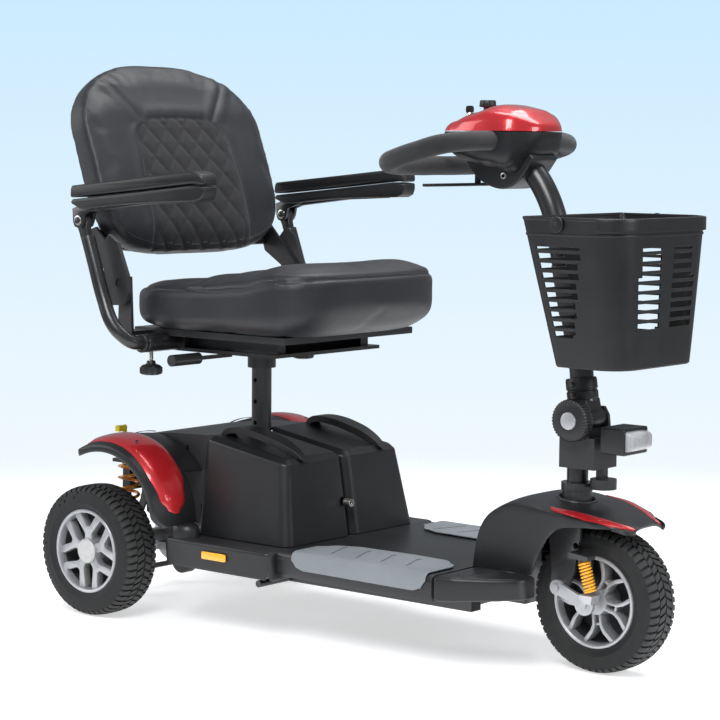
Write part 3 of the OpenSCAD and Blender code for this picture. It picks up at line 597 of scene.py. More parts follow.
def makeTyre(name, x, y, body, node):
    half = [(0.0743, 0.0300), (0.0785, 0.0352), (0.0845, 0.0366), (0.0850, 0.0372), (0.0862, 0.0372),
        (0.0868, 0.0369),
            (0.0940, 0.0372), (0.1000, 0.0362), (0.1048, 0.0341), (0.1082, 0.0304), (0.1102, 0.0245),
                (0.1111, 0.0176),
            (0.1112, 0.0158), (0.1116, 0.0084), (0.1116, 0.0014)]
    outline = half + [(r, -h) for r, h in reversed(half)]
    centre = (x, y, axleZ)
    steps = tyreFacts["blocks"] * 3
    thing = turned(name, outline, centre, "y", steps, 50)

    def isBlock(face):
        c = face.center
        h = abs(c.y - y)
        r = hypot(c.x - x, c.z - axleZ)
        k = int(atan2(c.z - axleZ, c.x - x) / (2 * pi) * steps + steps + 0.01) % 3
        if r < 0.1045 or r < 0.09:
            return False
        if h > 0.0178:
            return k != 0
        if h > 0.0159 or h < 0.0013:
            return False
        return k != (1 if c.y > y else 2)

    pickFaces(thing, isBlock)
    bpy.ops.mesh.extrude_region_move()
    leaveEdit()
    raised = {v.index for v in thing.data.vertices if v.select}
    for vert in thing.data.vertices:
        d = vert.co - Vector(centre)
        r = hypot(d.x, d.z)
        h = abs(d.y)
        if vert.index in raised:
            lift = tyreFacts["lugDepth"] if h < 0.0306 else tyreFacts["lugDepth"] * 0.8
            r2 = min(r + lift, axleZ)
            d = Vector((d.x * r2 / r, d.y, d.z * r2 / r))
        if r > 0.1:
            pitch = 2 * pi / tyreFacts["blocks"]
            swing = tyreFacts["lean"] * pitch * (h / 0.0165 if h < 0.0165 else 1 + (h - 0.0165) * 22)
            d = Matrix.Rotation(swing, 3, "Y") @ d
        vert.co = Vector(centre) + d
    mendNormals(thing)
    smooth(thing, 38)
    return finishPiece(thing, tyreRubber, body, [node])


# Rims: a turned barrel with a proud lip and a back painted near-black as painted shade, then five forked spokes and a
# hub
rimFacts = dict(spokes=5, faceOut=0.0262, faceIn=0.0105)


def makeRim(name, x, y, out, forked, body, node, lean):
    barrel = [(0.0741, -0.0312), (0.0741, -0.0290), (0.0712, -0.0262), (0.0712, 0.0262), (0.0741, 0.0290),
        (0.0741, 0.0312),
              (0.0728, 0.0329), (0.0700, 0.0333), (0.0682, 0.0322), (0.0672, 0.0296), (0.0660, 0.0180),
                  (0.0645, -0.0060),
              (0.0610, -0.0120), (0.0300, -0.0150), (0.0180, -0.0150), (0.0180, -0.0190), (0.0300, -0.0190),
              (0.0630, -0.0170), (0.0668, -0.0290)]
    parts = [turned(name + "Barrel", [(r, h * out) for r, h in barrel], (x, y, axleZ), "y", 96, 35)]
    parts[0].data.materials.append(castSilver)
    parts[0].data.materials.append(wheelWell)
    # faces deep inside the rim take the near-black casting: painted shade where the windows look dark
    for face in parts[0].data.polygons:
        c = face.center
        r = hypot(c.x - x, c.z - axleZ)
        deep = (c.y - y) * out
        face.material_index = 1 if r < 0.0662 and deep < 0.012 else 0
    if forked:
        lines = [[(15, -9), (30, -8), (35, -11.5), (57, -31.5), (62.5, -30), (66.8, -20.5), (63.5, -18.5), (44, -4.5),
                  (42.4, 0), (44, 4.5), (63.5, 18.5), (66.8, 20.5), (62.5, 30), (57, 31.5), (35, 11.5), (30, 8),
                      (15, 9)]]
    else:
        lines = []
        for t in (-1, 1):
            rib = [(15, 8.4), (36, 9.2), (45, 14), (61.5, 29.5), (66.5, 24.5), (50, 9.6), (40, 4.6), (15, 3.2)]
            lines.append([(a, b * t) for a, b in rib])
        lines.append([(33.5, -7), (38, -8), (38, 8), (33.5, 7)])
    for k in range(rimFacts["spokes"]):
        for n, outline in enumerate(lines):
            a, b = sorted((y + out * rimFacts["faceOut"], y + out * (rimFacts["faceIn"] if forked else 0.002)))
            if n == 2:
                a, b = sorted((y + out * 0.0225, y + out * 0.002))
            spoke = plate(name + "Spoke", [(x + p * mm, axleZ + q * mm) for p, q in outline], a, b, "y", 0.0014, 2,
                25)
            turnedAbout(spoke, radians(lean + k * 72), "Y", (x, y, axleZ))
            dress(spoke, castSilver)
            parts.append(spoke)
    hub = [(0.0, -0.0188), (0.0175, -0.0188), (0.0235, -0.012), (0.0235, 0.0215), (0.0222, 0.0245), (0.0215, 0.0300),
           (0.0198, 0.0318), (0.0, 0.0322)] if forked else \
          [(0.0, -0.0188), (0.0175, -0.0188), (0.0235, -0.012), (0.0225, 0.0200), (0.0205, 0.0262), (0.0125, 0.0270),
              (0.0, 0.0270)]
    core = turned(name + "Hub", [(r, h * out) for r, h in hub], (x, y, axleZ), "y", 64, 30)
    core.data.materials.append(castSilver)
    core.data.materials.append(hubSilver)
    for face in core.data.polygons:
        face.material_index = 1 if (face.center.y - y) * out > 0.0300 else 0
    parts.append(core)
    whole = joined(name, parts)
    return finishPiece(whole, castSilver, body, [node], keepMaterials=True)


for side, s in (("right", -1), ("left", 1)):
    makeTyre("rearTyre_" + side, -0.455, s * 0.2245, "rear_wheel_" + side, "rear_tyre_" + side)
    makeRim("rearRim_" + side, -0.455, s * 0.2245, s, True, "rear_wheel_" + side, "rear_rim_" + side, -90)
makeTyre("frontTyre", 0.455, 0.0, "front_wheel", "front_tyre")
makeRim("frontRim", 0.455, 0.0, -1, False, "front_wheel", "front_rim", -60)
print("wheels done")


# Coil springs: closed end turns, open between
def makeSpring(name, low, high, radius, wire, turns, made):
    start, stop = Vector(low), Vector(high)
    up = (stop - start).normalized()
    along = (stop - start).length
    u = up.cross(Vector((0, 1, 0))).normalized()
    v = up.cross(u)
    points = []
    count = turns * 12
    for i in range(count + 1):
        t = i / count
        ends = 0.75 / turns
        if t < ends:
            h = wire + (t / ends) * wire * 1.1
        elif t > 1 - ends:
            h = along - wire - ((1 - t) / ends) * wire * 1.1
        else:
            h = wire * 2.1 + (t - ends) / (1 - 2 * ends) * (along - wire * 4.2)
        a = 2 * pi * i / 12
        points.append(start + up * h + (u * cos(a) + v * sin(a)) * (radius - wire))
    thing = tube(name, points, wire, sides=3, steps=2)
    dress(thing, made)
    return thing


rearCoils = []
for s in (-1, 1):
    coil = makeSpring("rearCoil", (-0.455, s * 0.150, 0.1377), (-0.455, s * 0.150, 0.2618), 0.0200, 0.0030, 7,
        springAmber)
    rearCoils.append(coil)
coils = joined("rearCoils", rearCoils)
finishPiece(coils, springAmber, "chassis", ["rear_springs"])
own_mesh(coils)
frontCoils = []
for s in (-1, 1):
    low = Vector((0.466, s * 0.056, 0.1344))
    high = low + Vector((-sin(radians(16)), 0, cos(radians(16)))) * 0.050
    frontCoils.append(makeSpring("frontCoil", low, high, 0.0105, 0.0017, 10, springYellow))
coils = joined("frontCoils", frontCoils)
finishPiece(coils, springYellow, "steering", ["front_springs"])
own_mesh(coils)
print("springs done")


# A soft block: an even cube whose corners are drawn in, then laid over the cushion's own lines
def softBlock(name, cuts, square, place):
    deselectAll()
    bpy.ops.mesh.primitive_cube_add(size=2)
    thing = bpy.context.object
    thing.name = name
    bpy.ops.object.mode_set(mode="EDIT")
    bpy.ops.mesh.select_all(action="SELECT")
    bpy.ops.mesh.subdivide(number_cuts=cuts)
    leaveEdit()
    for vert in thing.data.vertices:
        a, b, c = vert.co
        s = (abs(a) ** square + abs(b) ** square + abs(c) ** square) ** (-1 / square)
        vert.co = place(a * s, b * s, c * s)
    mendNormals(thing, 0.0001)
    return thing


# Padding: the form is remeshed, blown up as cloth and held near the place where it began
def plump(thing, voxel, pressure, cap):
    activate(thing)
    again = thing.modifiers.new("even", "REMESH")
    again.mode = "VOXEL"
    again.voxel_size = voxel
    applyModifiers(thing)
    began = [v.co.copy() for v in thing.data.vertices]
    swell = thing.modifiers.new("swell", "CLOTH")
    swell.settings.use_pressure = True
    swell.settings.uniform_pressure_force = pressure
    swell.settings.quality = 3
    swell.settings.mass = 0.3
    swell.settings.tension_stiffness = 18
    swell.settings.compression_stiffness = 14
    swell.settings.bending_stiffness = 2.5
    swell.settings.effector_weights.gravity = 0
    swell.collision_settings.use_collision = False
    for step in range(1, 21):
        scene.frame_set(step)
        bpy.context.view_layer.update()
    activate(thing)
    bpy.ops.object.modifier_apply(modifier="swell")
    scene.frame_set(1)
    for vert, home in zip(thing.data.vertices, began):
        shift = vert.co - home
        if shift.length > cap:
            vert.co = home + shift * (cap / shift.length)
    soft = thing.modifiers.new("fine", "SUBSURF")
    soft.levels = soft.render_levels = 1
    applyModifiers(thing)


def heldNormals(thing):  # taken before the points move, so that they aren't worked out again at each one
    return [v.normal.copy() for v in thing.data.vertices]


def searchTree(thing):
    return BVHTree.FromPolygons([v.co for v in thing.data.vertices], [tuple(f.vertices) for f in thing.data.polygons])


# A row of stitches lying along a line on the cushion
def stitchRow(name, thing, line, gap=0.0046, length=0.0028, thick=0.00042, lift=0.0003):
    tree = searchTree(thing)
    walked = []
    for a, b in zip(line, line[1:]):
        a, b = Vector(a), Vector(b)
        count = max(1, int((b - a).length / 0.001))
        walked += [a.lerp(b, i / count) for i in range(count)]
    every = max(1, int(round(gap / 0.001)))
    deselectAll()
    bpy.ops.mesh.primitive_uv_sphere_add(segments=6, ring_count=5, radius=1)
    stitch = bpy.context.object
    shape = [v.co.copy() for v in stitch.data.vertices]
    faces = [tuple(p.vertices) for p in stitch.data.polygons]
    bpy.ops.object.delete()
    points, polys = [], []
    for i in range(0, len(walked) - every, every):
        here, normal = tree.find_nearest(walked[i])[:2]
        there = tree.find_nearest(walked[min(i + every // 2 + 1, len(walked) - 1)])[0]
        along = there - here
        if along.length < 0.0005:
            continue
        along.normalize()
        side = along.cross(normal).normalized()
        up = side.cross(along).normalized()
        start = len(points)
        middle = here + normal * lift
        points += [middle + along * (c.x * length / 2) + side * (c.y * thick) + up * (c.z * thick) for c in shape]
        polys += [tuple(start + k for k in f) for f in faces]
    sheet = bpy.data.meshes.new(name)
    sheet.from_pydata(points, [], polys)
    row = bpy.data.objects.new(name, sheet)
    scene.collection.objects.link(row)
    activate(row)
    bpy.ops.object.shade_smooth()
    return row


# Seat cushion: crowned top, deep rolled front, a sewn edge all round and one cross seam
seatFacts = dict(rear=-0.438, front=-0.001, half=0.203, voxel=0.0085, pressure=3.0, cap=0.0035, seamDepth=0.0026,
    seamWidth=0.0026)


def seatTop(x):
    return easeLine(x, [(-0.440, 0.590), (-0.400, 0.588), (-0.300, 0.594), (-0.215, 0.606), (-0.150, 0.615),
        (-0.075, 0.628), (-0.030, 0.629), (0.0, 0.622)])


def seatLow(x):
    return easeLine(x, [(-0.440, 0.512), (-0.400, 0.505), (-0.150, 0.504), (-0.070, 0.503), (-0.030, 0.511),
        (0.0, 0.532)])


def seatPlace(a, b, c):
    f = seatFacts
    x = f["rear"] + (a + 1) / 2 * (f["front"] - f["rear"])
    mid = (seatTop(x) + seatLow(x)) / 2
    tall = (seatTop(x) - seatLow(x)) / 2
    wide = f["half"] * (1 - 0.05 * max(0, -a) ** 3 - 0.02 * max(0, a) ** 4)
    dish = -0.007 * (1 - b * b) ** 1.5 * max(0, c) * (1 - max(0, a) ** 2)
    bulge = 1 + 0.018 * (1 - c * c)
    return Vector((x, b * wide * bulge, mid + c * tall + dish))


def seatSeamHeight(x):  # the line where the top panel is sewn to the side band
    return easeLine(x, [(-0.440, 0.566), (-0.390, 0.577), (-0.300, 0.579), (-0.215, 0.578), (-0.150, 0.584),
        (-0.070, 0.599), (0.0, 0.604)])


def makeSeat():
    f = seatFacts
    pad = softBlock("seatCushion", 40, 5.0, seatPlace)
    plump(pad, f["voxel"], f["pressure"], f["cap"])
    crossX = -0.225
    for vert, n in zip(pad.data.vertices, heldNormals(pad)):
        c = vert.co
        d = abs(c.z - seatSeamHeight(c.x)) / max(0.45, sqrt(max(0.0, 1 - n.z * n.z)))
        dip = exp(-(d / f["seamWidth"]) ** 2) if abs(n.z) < 0.93 else 0
        if c.z > seatSeamHeight(c.x) - 0.002:
            run = abs(c.x - (crossX + 0.55 * (abs(c.y) - 0.2) ** 2))
            dip = max(dip, exp(-(run / f["seamWidth"]) ** 2))
            puff = 0.0012 * exp(-((d - 0.014) / 0.009) ** 2)
        else:
            puff = 0.0009 * exp(-((d - 0.012) / 0.008) ** 2)
        ripple = wobble(c * 14) * 0.0007 + wobble(c * 46) * 0.0002
        if abs(n.z) < 0.93 or c.z > 0.55:
            vert.co = c + n * (puff + ripple - f["seamDepth"] * dip)
    for vert in pad.data.vertices:  # the underside rests on the pan
        if vert.co.z < 0.5064 and vert.co.x < -0.065:
            vert.co.z = 0.5064
        vert.co.x = min(vert.co.x, 0.0)
    activate(pad)
    bpy.ops.object.shade_smooth()
    line = []
    ring = [(sx, sy) for sx, sy in roundRect(-0.437, -0.004, -0.203, 0.203, 0.045, 10)]
    ring.append(ring[0])
    for (x0, y0), (x1, y1) in zip(ring, ring[1:]):
        count = max(1, int(hypot(x1 - x0, y1 - y0) / 0.01))
        line += [(x0 + (x1 - x0) * i / count, y0 + (y1 - y0) * i / count,
            seatSeamHeight(x0 + (x1 - x0) * i / count) + 0.0052) for i in range(count)]
    line.append(line[0])
    row = stitchRow("seatStitches", pad, line)
    finishPiece(pad, seatVinyl, "seat", ["seat_cushion"])
    finishPiece(row, threadGrey, "seat")


makeSeat()
print("seat cushion done")

# Backrest cushion, drawn upright in its own depth, width and height and then raked back
backFacts = dict(rake=19, hinge=(-0.395, 0.585), length=0.412, half=0.2285, voxel=0.0080, pressure=3.0, cap=0.0035,
                 seamDepth=0.0024, seamWidth=0.0024, panelTop=0.292, diamond=(0.047, 0.056))


def onBack(d, y, w):  # depth, width and height to the raked place
    t = radians(backFacts["rake"])
    x, z = backFacts["hinge"]
    return Vector((x + d * cos(t) - w * sin(t), y, z + d * sin(t) + w * cos(t)))


def offBack(p):
    t = radians(backFacts["rake"])
    x, z = backFacts["hinge"]
    dx, dz = p.x - x, p.z - z
    return dx * cos(t) + dz * sin(t), p.y, -dx * sin(t) + dz * cos(t)


def backHalf(w):
    f = backFacts
    if w > f["length"] - 0.135:
        k = (w - (f["length"] - 0.135)) / 0.135
        return f["half"] - 0.150 + 0.150 * sqrt(max(0, 1 - k * k * 0.93))
    if w < 0.15:
        k = (0.15 - w) / 0.10
        return f["half"] - 0.018 * k * k
    return f["half"]


def backPlace(a, b, c):
    f = backFacts
    w = 0.052 + (c + 1) / 2 * (f["length"] - 0.052)
    front = easeLine(w, [(0.05, 0.002), (0.10, 0.010), (0.20, 0.0125), (0.30, 0.010), (0.36, 0.004), (0.404, -0.004)])
    rear = steps01(w, [(0.05, -0.046), (0.33, -0.046), (0.404, -0.038)])
    mid, thick = (front + rear) / 2, (front - rear) / 2
    wings = 0.012 * abs(b) ** 2.4 * (1 if a > 0 else 0) * max(0, 1 - abs(c) ** 4)
    return onBack(mid + a * thick + wings - 0.004, b * backHalf(w), w)


def segmentAway(y, w, y0, w0, y1, w1):
    dx, dy = y1 - y0, w1 - w0
    t = max(0, min(1, ((y - y0) * dx + (w - w0) * dy) / (dx * dx + dy * dy)))
    return hypot(y - y0 - dx * t, w - w0 - dy * t)


def panelEdge(w):  # half the width of the quilted panel at a height
    f = backFacts
    grow = easeLine(w, [(0.05, 0.118), (0.16, 0.116), (0.26, 0.108), (0.30, 0.100)])
    corner = max(0.0, (w - (f["panelTop"] - 0.030)) / 0.030)
    return grow - 0.028 * (1 - sqrt(max(0, 1 - min(1, corner) ** 2)))


def makeBack():
    f = backFacts
    pad = softBlock("backCushion", 44, 4.6, backPlace)
    plump(pad, f["voxel"], f["pressure"], f["cap"])
    rake = radians(f["rake"])
    outward = Vector((cos(rake), 0, sin(rake)))
    dw, dh = f["diamond"]
    pad.data.materials.append(seatVinyl)
    pad.data.materials.append(quiltSuede)
    for vert, n in zip(pad.data.vertices, heldNormals(pad)):
        d, y, w = offBack(vert.co)
        facing = n.dot(outward)
        ripple = wobble(vert.co * 14) * 0.0006 + wobble(vert.co * 44) * 0.0002
        if facing > 0.35:
            ay = abs(y)
            top = f["panelTop"] + 0.006 - 1.4 * max(0, ay) ** 2 * 0.3
            sideLine = abs(ay - panelEdge(w)) if w < top else hypot(max(0, ay - panelEdge(top)), w - top)
            topLine = abs(w - top) if ay < panelEdge(top) + 0.001 else 1
            seam = min(sideLine if w < top + 0.002 else 1, topLine)
            seam = min(seam, segmentAway(ay, w, 0.088, f["panelTop"], 0.152, 0.372))
            dip = exp(-(seam / f["seamWidth"]) ** 2)
            puff = 0.0014 * exp(-((seam - 0.014) / 0.010) ** 2)
            if ay < panelEdge(w) and w < top:
                q1 = abs(((y / dw + w / dh) + 0.25) % 1 - 0.5) * 2
                q2 = abs(((y / dw - w / dh) + 0.25) % 1 - 0.5) * 2
                run = min(q1, q2)
                away = run * dw * 0.38
                dip = max(dip, 0.75 * exp(-(away / 0.0021) ** 2))
                puff = 0.0016 * (1 - exp(-(away / 0.009) ** 2))
            vert.co = vert.co + n * (puff + ripple - f["seamDepth"] * dip)
        else:
            edge = abs(d - 0.0045 + 0.016 * max(0, w - 0.30) / 0.1)
            dip = exp(-(edge / f["seamWidth"]) ** 2) if abs(facing) < 0.6 else 0
            vert.co = vert.co + n * (ripple - f["seamDepth"] * dip)
    for face in pad.data.polygons:
        d, y, w = offBack(face.center)
        inside = face.normal.dot(outward) > 0.35 and abs(y) < panelEdge(w) and w < f["panelTop"] + 0.006 - 0.42 * y * y
        face.material_index = 1 if inside else 0
    activate(pad)
    bpy.ops.object.shade_smooth()
    edgeLine = []
    for i in range(121):
        a = 2 * pi * i / 120
        w = 0.228 + 0.172 * (abs(sin(a)) ** 0.5) * (1 if sin(a) > 0 else -1)
        y = backHalf(w) * (abs(cos(a)) ** 0.5) * (1 if cos(a) > 0 else -1)
        edgeLine.append(onBack(0.012 - 0.016 * max(0, w - 0.30) / 0.1, y, w))
    row = stitchRow("backStitches", pad, edgeLine)
    bars = []
    for s in (-1, 1):
        line = [onBack(0.02, s * (panelEdge(w) + 0.0055), w) for w in [0.062 + 0.2 * i / 30 for i in range(31)]]
        bars.append(stitchRow("panelStitches", pad, line))
    rows = joined("backStitches", [row] + bars)
    finishPiece(pad, seatVinyl, "backrest", ["back_cushion"], keepMaterials=True)
    finishPiece(rows, threadGrey, "backrest")


makeBack()
print("backrest cushion done")


# Armrests: a two-layer moulded pad with softened ends, its hinge plates, and a square bent leg
armFacts = dict(inner=0.240, hinge=(-0.450, 0.692), legY=0.2625)


def makeArm(side, s):
    a0, a1 = sorted((s * 0.2402, s * 0.2848))
    lower = smoothLine([(-420, 712.5), (-300, 724), (-168, 730)], 6) + [(-156, 735), (-150.8, 745),
        (-151, 755.4)] + smoothLine([(-175, 757), (-300, 744), (-459, 728)], 6) + [(-465.2, 723), (-461, 720),
            (-440, 712.5)]
    upper = [(-464.8, 730.4), (-300, 746.4), (-175, 759.4), (-150.6, 757.8), (-151.5, 769), (-157, 776),
        (-175, 780.5)] + smoothLine([(-300, 767.5), (-459, 751.5)], 6) + [(-463.5, 747)]
    parts = [plate("padLower", inMetres(lower), a0 + 0.0012, a1 - 0.0012, "y", 0.0042, 4, 40),
             plate("padUpper", inMetres(upper), a0, a1, "y", 0.0050, 4, 40)]
    for thing in parts:  # plan view narrows at both ends
        moveVerts(thing, lambda c: Vector((c.x,
            s * armFacts["legY"] + (c.y - s * armFacts["legY"]) * (1 - 0.30 * max(0,
                (c.x + 0.172) / 0.022) ** 2 - 0.16 * max(0, (-0.440 - c.x) / 0.026) ** 2), c.z)))
        dress(thing, mouldedBlack)
    hx, hz = armFacts["hinge"]
    for t in (-1, 1):
        y = s * armFacts["legY"] + t * 0.011
        cheek = [(-462, 688), (-458, 681), (-449, 678.5), (-441, 681.5), (-437, 689), (-434, 703), (-400, 714),
            (-398, 718), (-452, 716), (-464, 712)]
        parts.append(plate("padCheek", inMetres(cheek), y - 0.003, y + 0.003, "y", 0.0008, 2, 30))
        dress(parts[-1], powderCoat)
        parts.append(roundBar("padBolt", 0.0062, 0.004, (hx, y + t * 0.0045, hz), "y", 0.0012, 6))
        dress(parts[-1], powderCoat)
        parts.append(roundBar("padWasher", 0.0085, 0.0016, (hx, y + t * 0.0032, hz), "y", 0.0004, 28))
        dress(parts[-1], zincSteel)
    rail = plate("padRail", inMetres([(-452, 713), (-436, 706), (-300, 722.5), (-205, 727.5), (-205, 731),
        (-300, 727)]), s * armFacts["legY"] - 0.010, s * armFacts["legY"] + 0.010, "y", 0.001, 2)
    dress(rail, powderCoat)
    parts += [rail, roundBar("padPin", 0.006, 0.034, (hx, s * armFacts["legY"], hz), "y")]
    dress(parts[-1], powderCoat)
    whole = joined("armPad_" + side, parts)
    finishPiece(whole, mouldedBlack, "armrest_" + side, ["arm_pad_" + side], keepMaterials=True)

    deselectAll()
    bpy.ops.curve.primitive_bezier_circle_add(radius=0.0122)
    section = bpy.context.object
    for knot in section.data.splines[0].bezier_points:
        knot.handle_left = knot.co + (knot.handle_left - knot.co) * 1.55
        knot.handle_right = knot.co + (knot.handle_right - knot.co) * 1.55
    section.data.resolution_u = 5
    line = [(-0.350, s * 0.2135, 0.483), (-0.351, s * 0.228, 0.484), (-0.355, s * 0.242, 0.487),
        (-0.364, s * 0.2535, 0.497),
            (-0.378, s * 0.2625, 0.515), (-0.402, s * 0.2625, 0.560), (-0.424, s * 0.2625, 0.620),
                (-0.440, s * 0.2625, 0.664)]
    leg = tube("armLeg", line, 0.0122, steps=10, section=section)
    deselectAll()
    section.select_set(True)
    bpy.ops.object.delete()
    dress(leg, powderCoat)
    bar = roundBar("armBar", 0.011, 0.160, (-0.350, s * 0.142, 0.483), "y", 0.001)
    dress(bar, zincSteel)
    neck = plate("armEar", inMetres([(-447, 650), (-431, 650), (-438, 678), (-436.5, 692), (-440, 701), (-450, 705.5),
        (-460, 701), (-463.5, 692), (-461, 684), (-455, 672)]), s * armFacts["legY"] - 0.0068,
            s * armFacts["legY"] + 0.0068, "y", 0.0012, 2)
    dress(neck, powderCoat)
    collar = turned("armCollar", [(0.0112, -0.008), (0.0150, -0.008), (0.0158, -0.006), (0.0158, 0.006),
        (0.0150, 0.008), (0.0112, 0.008)], (-0.350, s * 0.2125 + s * 0.0005, 0.483), "y", 40, 30)
    moveVerts(collar, lambda c: Vector((c.x, s * 0.2215 + (c.y - s * 0.213) * 0.5, c.z)))
    dress(collar, mouldedBlack)
    whole = joined("armTube_" + side, [leg, bar, neck, collar])
    finishPiece(whole, powderCoat, "arm_" + side, ["arm_tube_" + side], keepMaterials=True)


for side, s in (("right", -1), ("left", 1)):
    makeArm(side, s)
print("armrests done")


# Clamp knobs under the seat: a fluted cap with a threaded stem
def makeClampKnob(side, s):
    cap = turned("knobCap", [(0.0, 0.4290), (0.0145, 0.4280), (0.0192, 0.4300), (0.0200, 0.4345), (0.0198, 0.4400),
        (0.0160, 0.4440),
                             (0.0085, 0.4465), (0.0070, 0.4520), (0.0, 0.4520)], (-0.350, s * 0.200, 0), "z", 60, 40)
    for vert in cap.data.vertices:
        d = vert.co - Vector((-0.350, s * 0.200, vert.co.z))
        if d.length > 0.0165:
            vert.co = Vector((-0.350, s * 0.200,
                vert.co.z)) + d * (1 - 0.09 * (0.5 + 0.5 * cos(10 * atan2(d.y, d.x))) ** 2)
    dress(cap, mouldedBlack)
    turns = [(0.0040 if i % 2 else 0.0036, 0.4515 + i * 0.0006) for i in range(33)]
    stem = turned("knobStem", [(0.0, 0.4515)] + turns + [(0.0, 0.4515 + 33 * 0.0006)], (-0.350, s * 0.200, 0), "z",
        20, 20)
    dress(stem, zincSteel)
    whole = joined("clampKnob_" + side, [cap, stem])
    finishPiece(whole, mouldedBlack, "knob_" + side, ["clamp_knob_" + side], keepMaterials=True)


for side, s in (("right", -1), ("left", 1)):
    makeClampKnob(side, s)
print("clamp knobs done")


# Battery packs: a drawn-in moulded case with a round-edged lid and a leaf-shaped carry handle
packFacts = dict(rear=-0.2728, front=-0.0602, inner=0.0011, half=0.172, low=0.1552, top=0.3195, slope=9)


def makePack(side, s):
    f = packFacts
    y0, y1 = sorted((s * f["inner"], s * f["half"]))
    outline = roundRect(f["rear"], f["front"], y0, y1, 0.020, 6)
    case = plate("packCase", outline, f["low"], 0.300, "z")
    drop = tan(radians(f["slope"]))

    def draw(c):
        if c.z < 0.2:
            return c
        x = -0.2715 + (c.x - f["rear"]) * 0.885
        y = c.y * (1 - 0.125 * abs(c.y) / f["half"])
        return Vector((x, y, f["top"] - (x + 0.2715) * drop * 1.02))

    moveVerts(case, draw)
    activate(case)
    bpy.ops.object.mode_set(mode="EDIT")
    bpy.ops.mesh.select_mode(type="FACE")
    bpy.ops.mesh.select_all(action="DESELECT")
    leaveEdit()
    for face in case.data.polygons:
        face.select = face.normal.z > 0.8 and face.center.z > 0.2
    bpy.ops.object.mode_set(mode="EDIT")
    bpy.ops.mesh.inset(thickness=0.012, depth=0.0085)
    leaveEdit()
    bevelEdges(case, 0.009, 5, 20)
    smooth(case, 50)
    dress(case, charcoalPlastic)
    parts = [case]
    # handle: a leaf standing proud of the lid, open below
    top = [(-262, 318.5), (-254, 331), (-240, 338.5), (-225, 341), (-205, 341), (-180, 338), (-155, 332.5),
        (-130, 325.5), (-108, 316), (-92, 306.5), (-78, 293.5)]
    under = [(-92, 297.5), (-110, 304.5), (-140, 316), (-185, 327), (-225, 329.5), (-243, 324.5), (-250, 316)]
    grip = plate("packHandle", inMetres(smoothLine(top, 4) + smoothLine(under, 3)), min(s * 0.092, s * 0.133),
        max(s * 0.092, s * 0.133), "y")

    def leaf(c):
        t = (c.x + 0.262) / 0.184
        half = 0.0205 * (sin(pi * min(1, max(0, t * 0.93 + 0.05))) ** 0.45) * (1 - 0.25 * t)
        middle = s * (0.1115 - 0.006 * t)
        return Vector((c.x, middle + (1 if c.y > s * 0.1125 else -1) * max(0.004, half), c.z))

    moveVerts(grip, leaf)
    bevelEdges(grip, 0.0026, 3, 40)
    smooth(grip, 40)
    dress(grip, mouldedBlack)
    parts.append(grip)
    tools = [roundBar("postWell", 0.0262, 0.4, (-0.274, 0, 0.25), "z", 0.0005, 64)]
    if s < 0:
        tools.append(roundBar("portHole", 0.0085, 0.05, (-0.070, -0.016, 0.215), "x", 0.0005))
    carve(case, tools)
    smooth(case, 40)
    whole = joined("batteryCase_" + side, parts)
    finishPiece(whole, charcoalPlastic, "battery_" + side, ["battery_shell_" + side], keepMaterials=True)


for side, s in (("right", -1), ("left", 1)):
    makePack(side, s)

# Charging socket: a zinc barrel with a flange, a bore and three pins
socketParts = [turned("socket", [(0.0034, 0.004), (0.0052, 0.004), (0.0054, 0.0075), (0.0068, 0.0078),
    (0.0070, 0.0045), (0.0068, -0.006), (0.0, -0.006), (0.0, -0.003), (0.0034, -0.003)], (-0.0595, -0.016, 0.215),
        "x", 40, 30)]
for k in range(3):
    a = radians(90 + k * 120)
    socketParts.append(roundBar("socketPin", 0.0006, 0.006, (-0.0580, -0.016 + 0.0018 * cos(a),
        0.215 + 0.0018 * sin(a)), "x", 0.0002, 12, 1))
socket = joined("chargeSocket", socketParts)
finishPiece(socket, zincSteel, "battery_right", ["charger_port"])
print("battery packs done")

# Base tray: the moulded skirt round the packs, with a rolled top edge and a round stub before the wheel
trayFacts = dict(rear=-0.300, front=-0.0563, half=0.225, low=0.1052, top=0.1549)


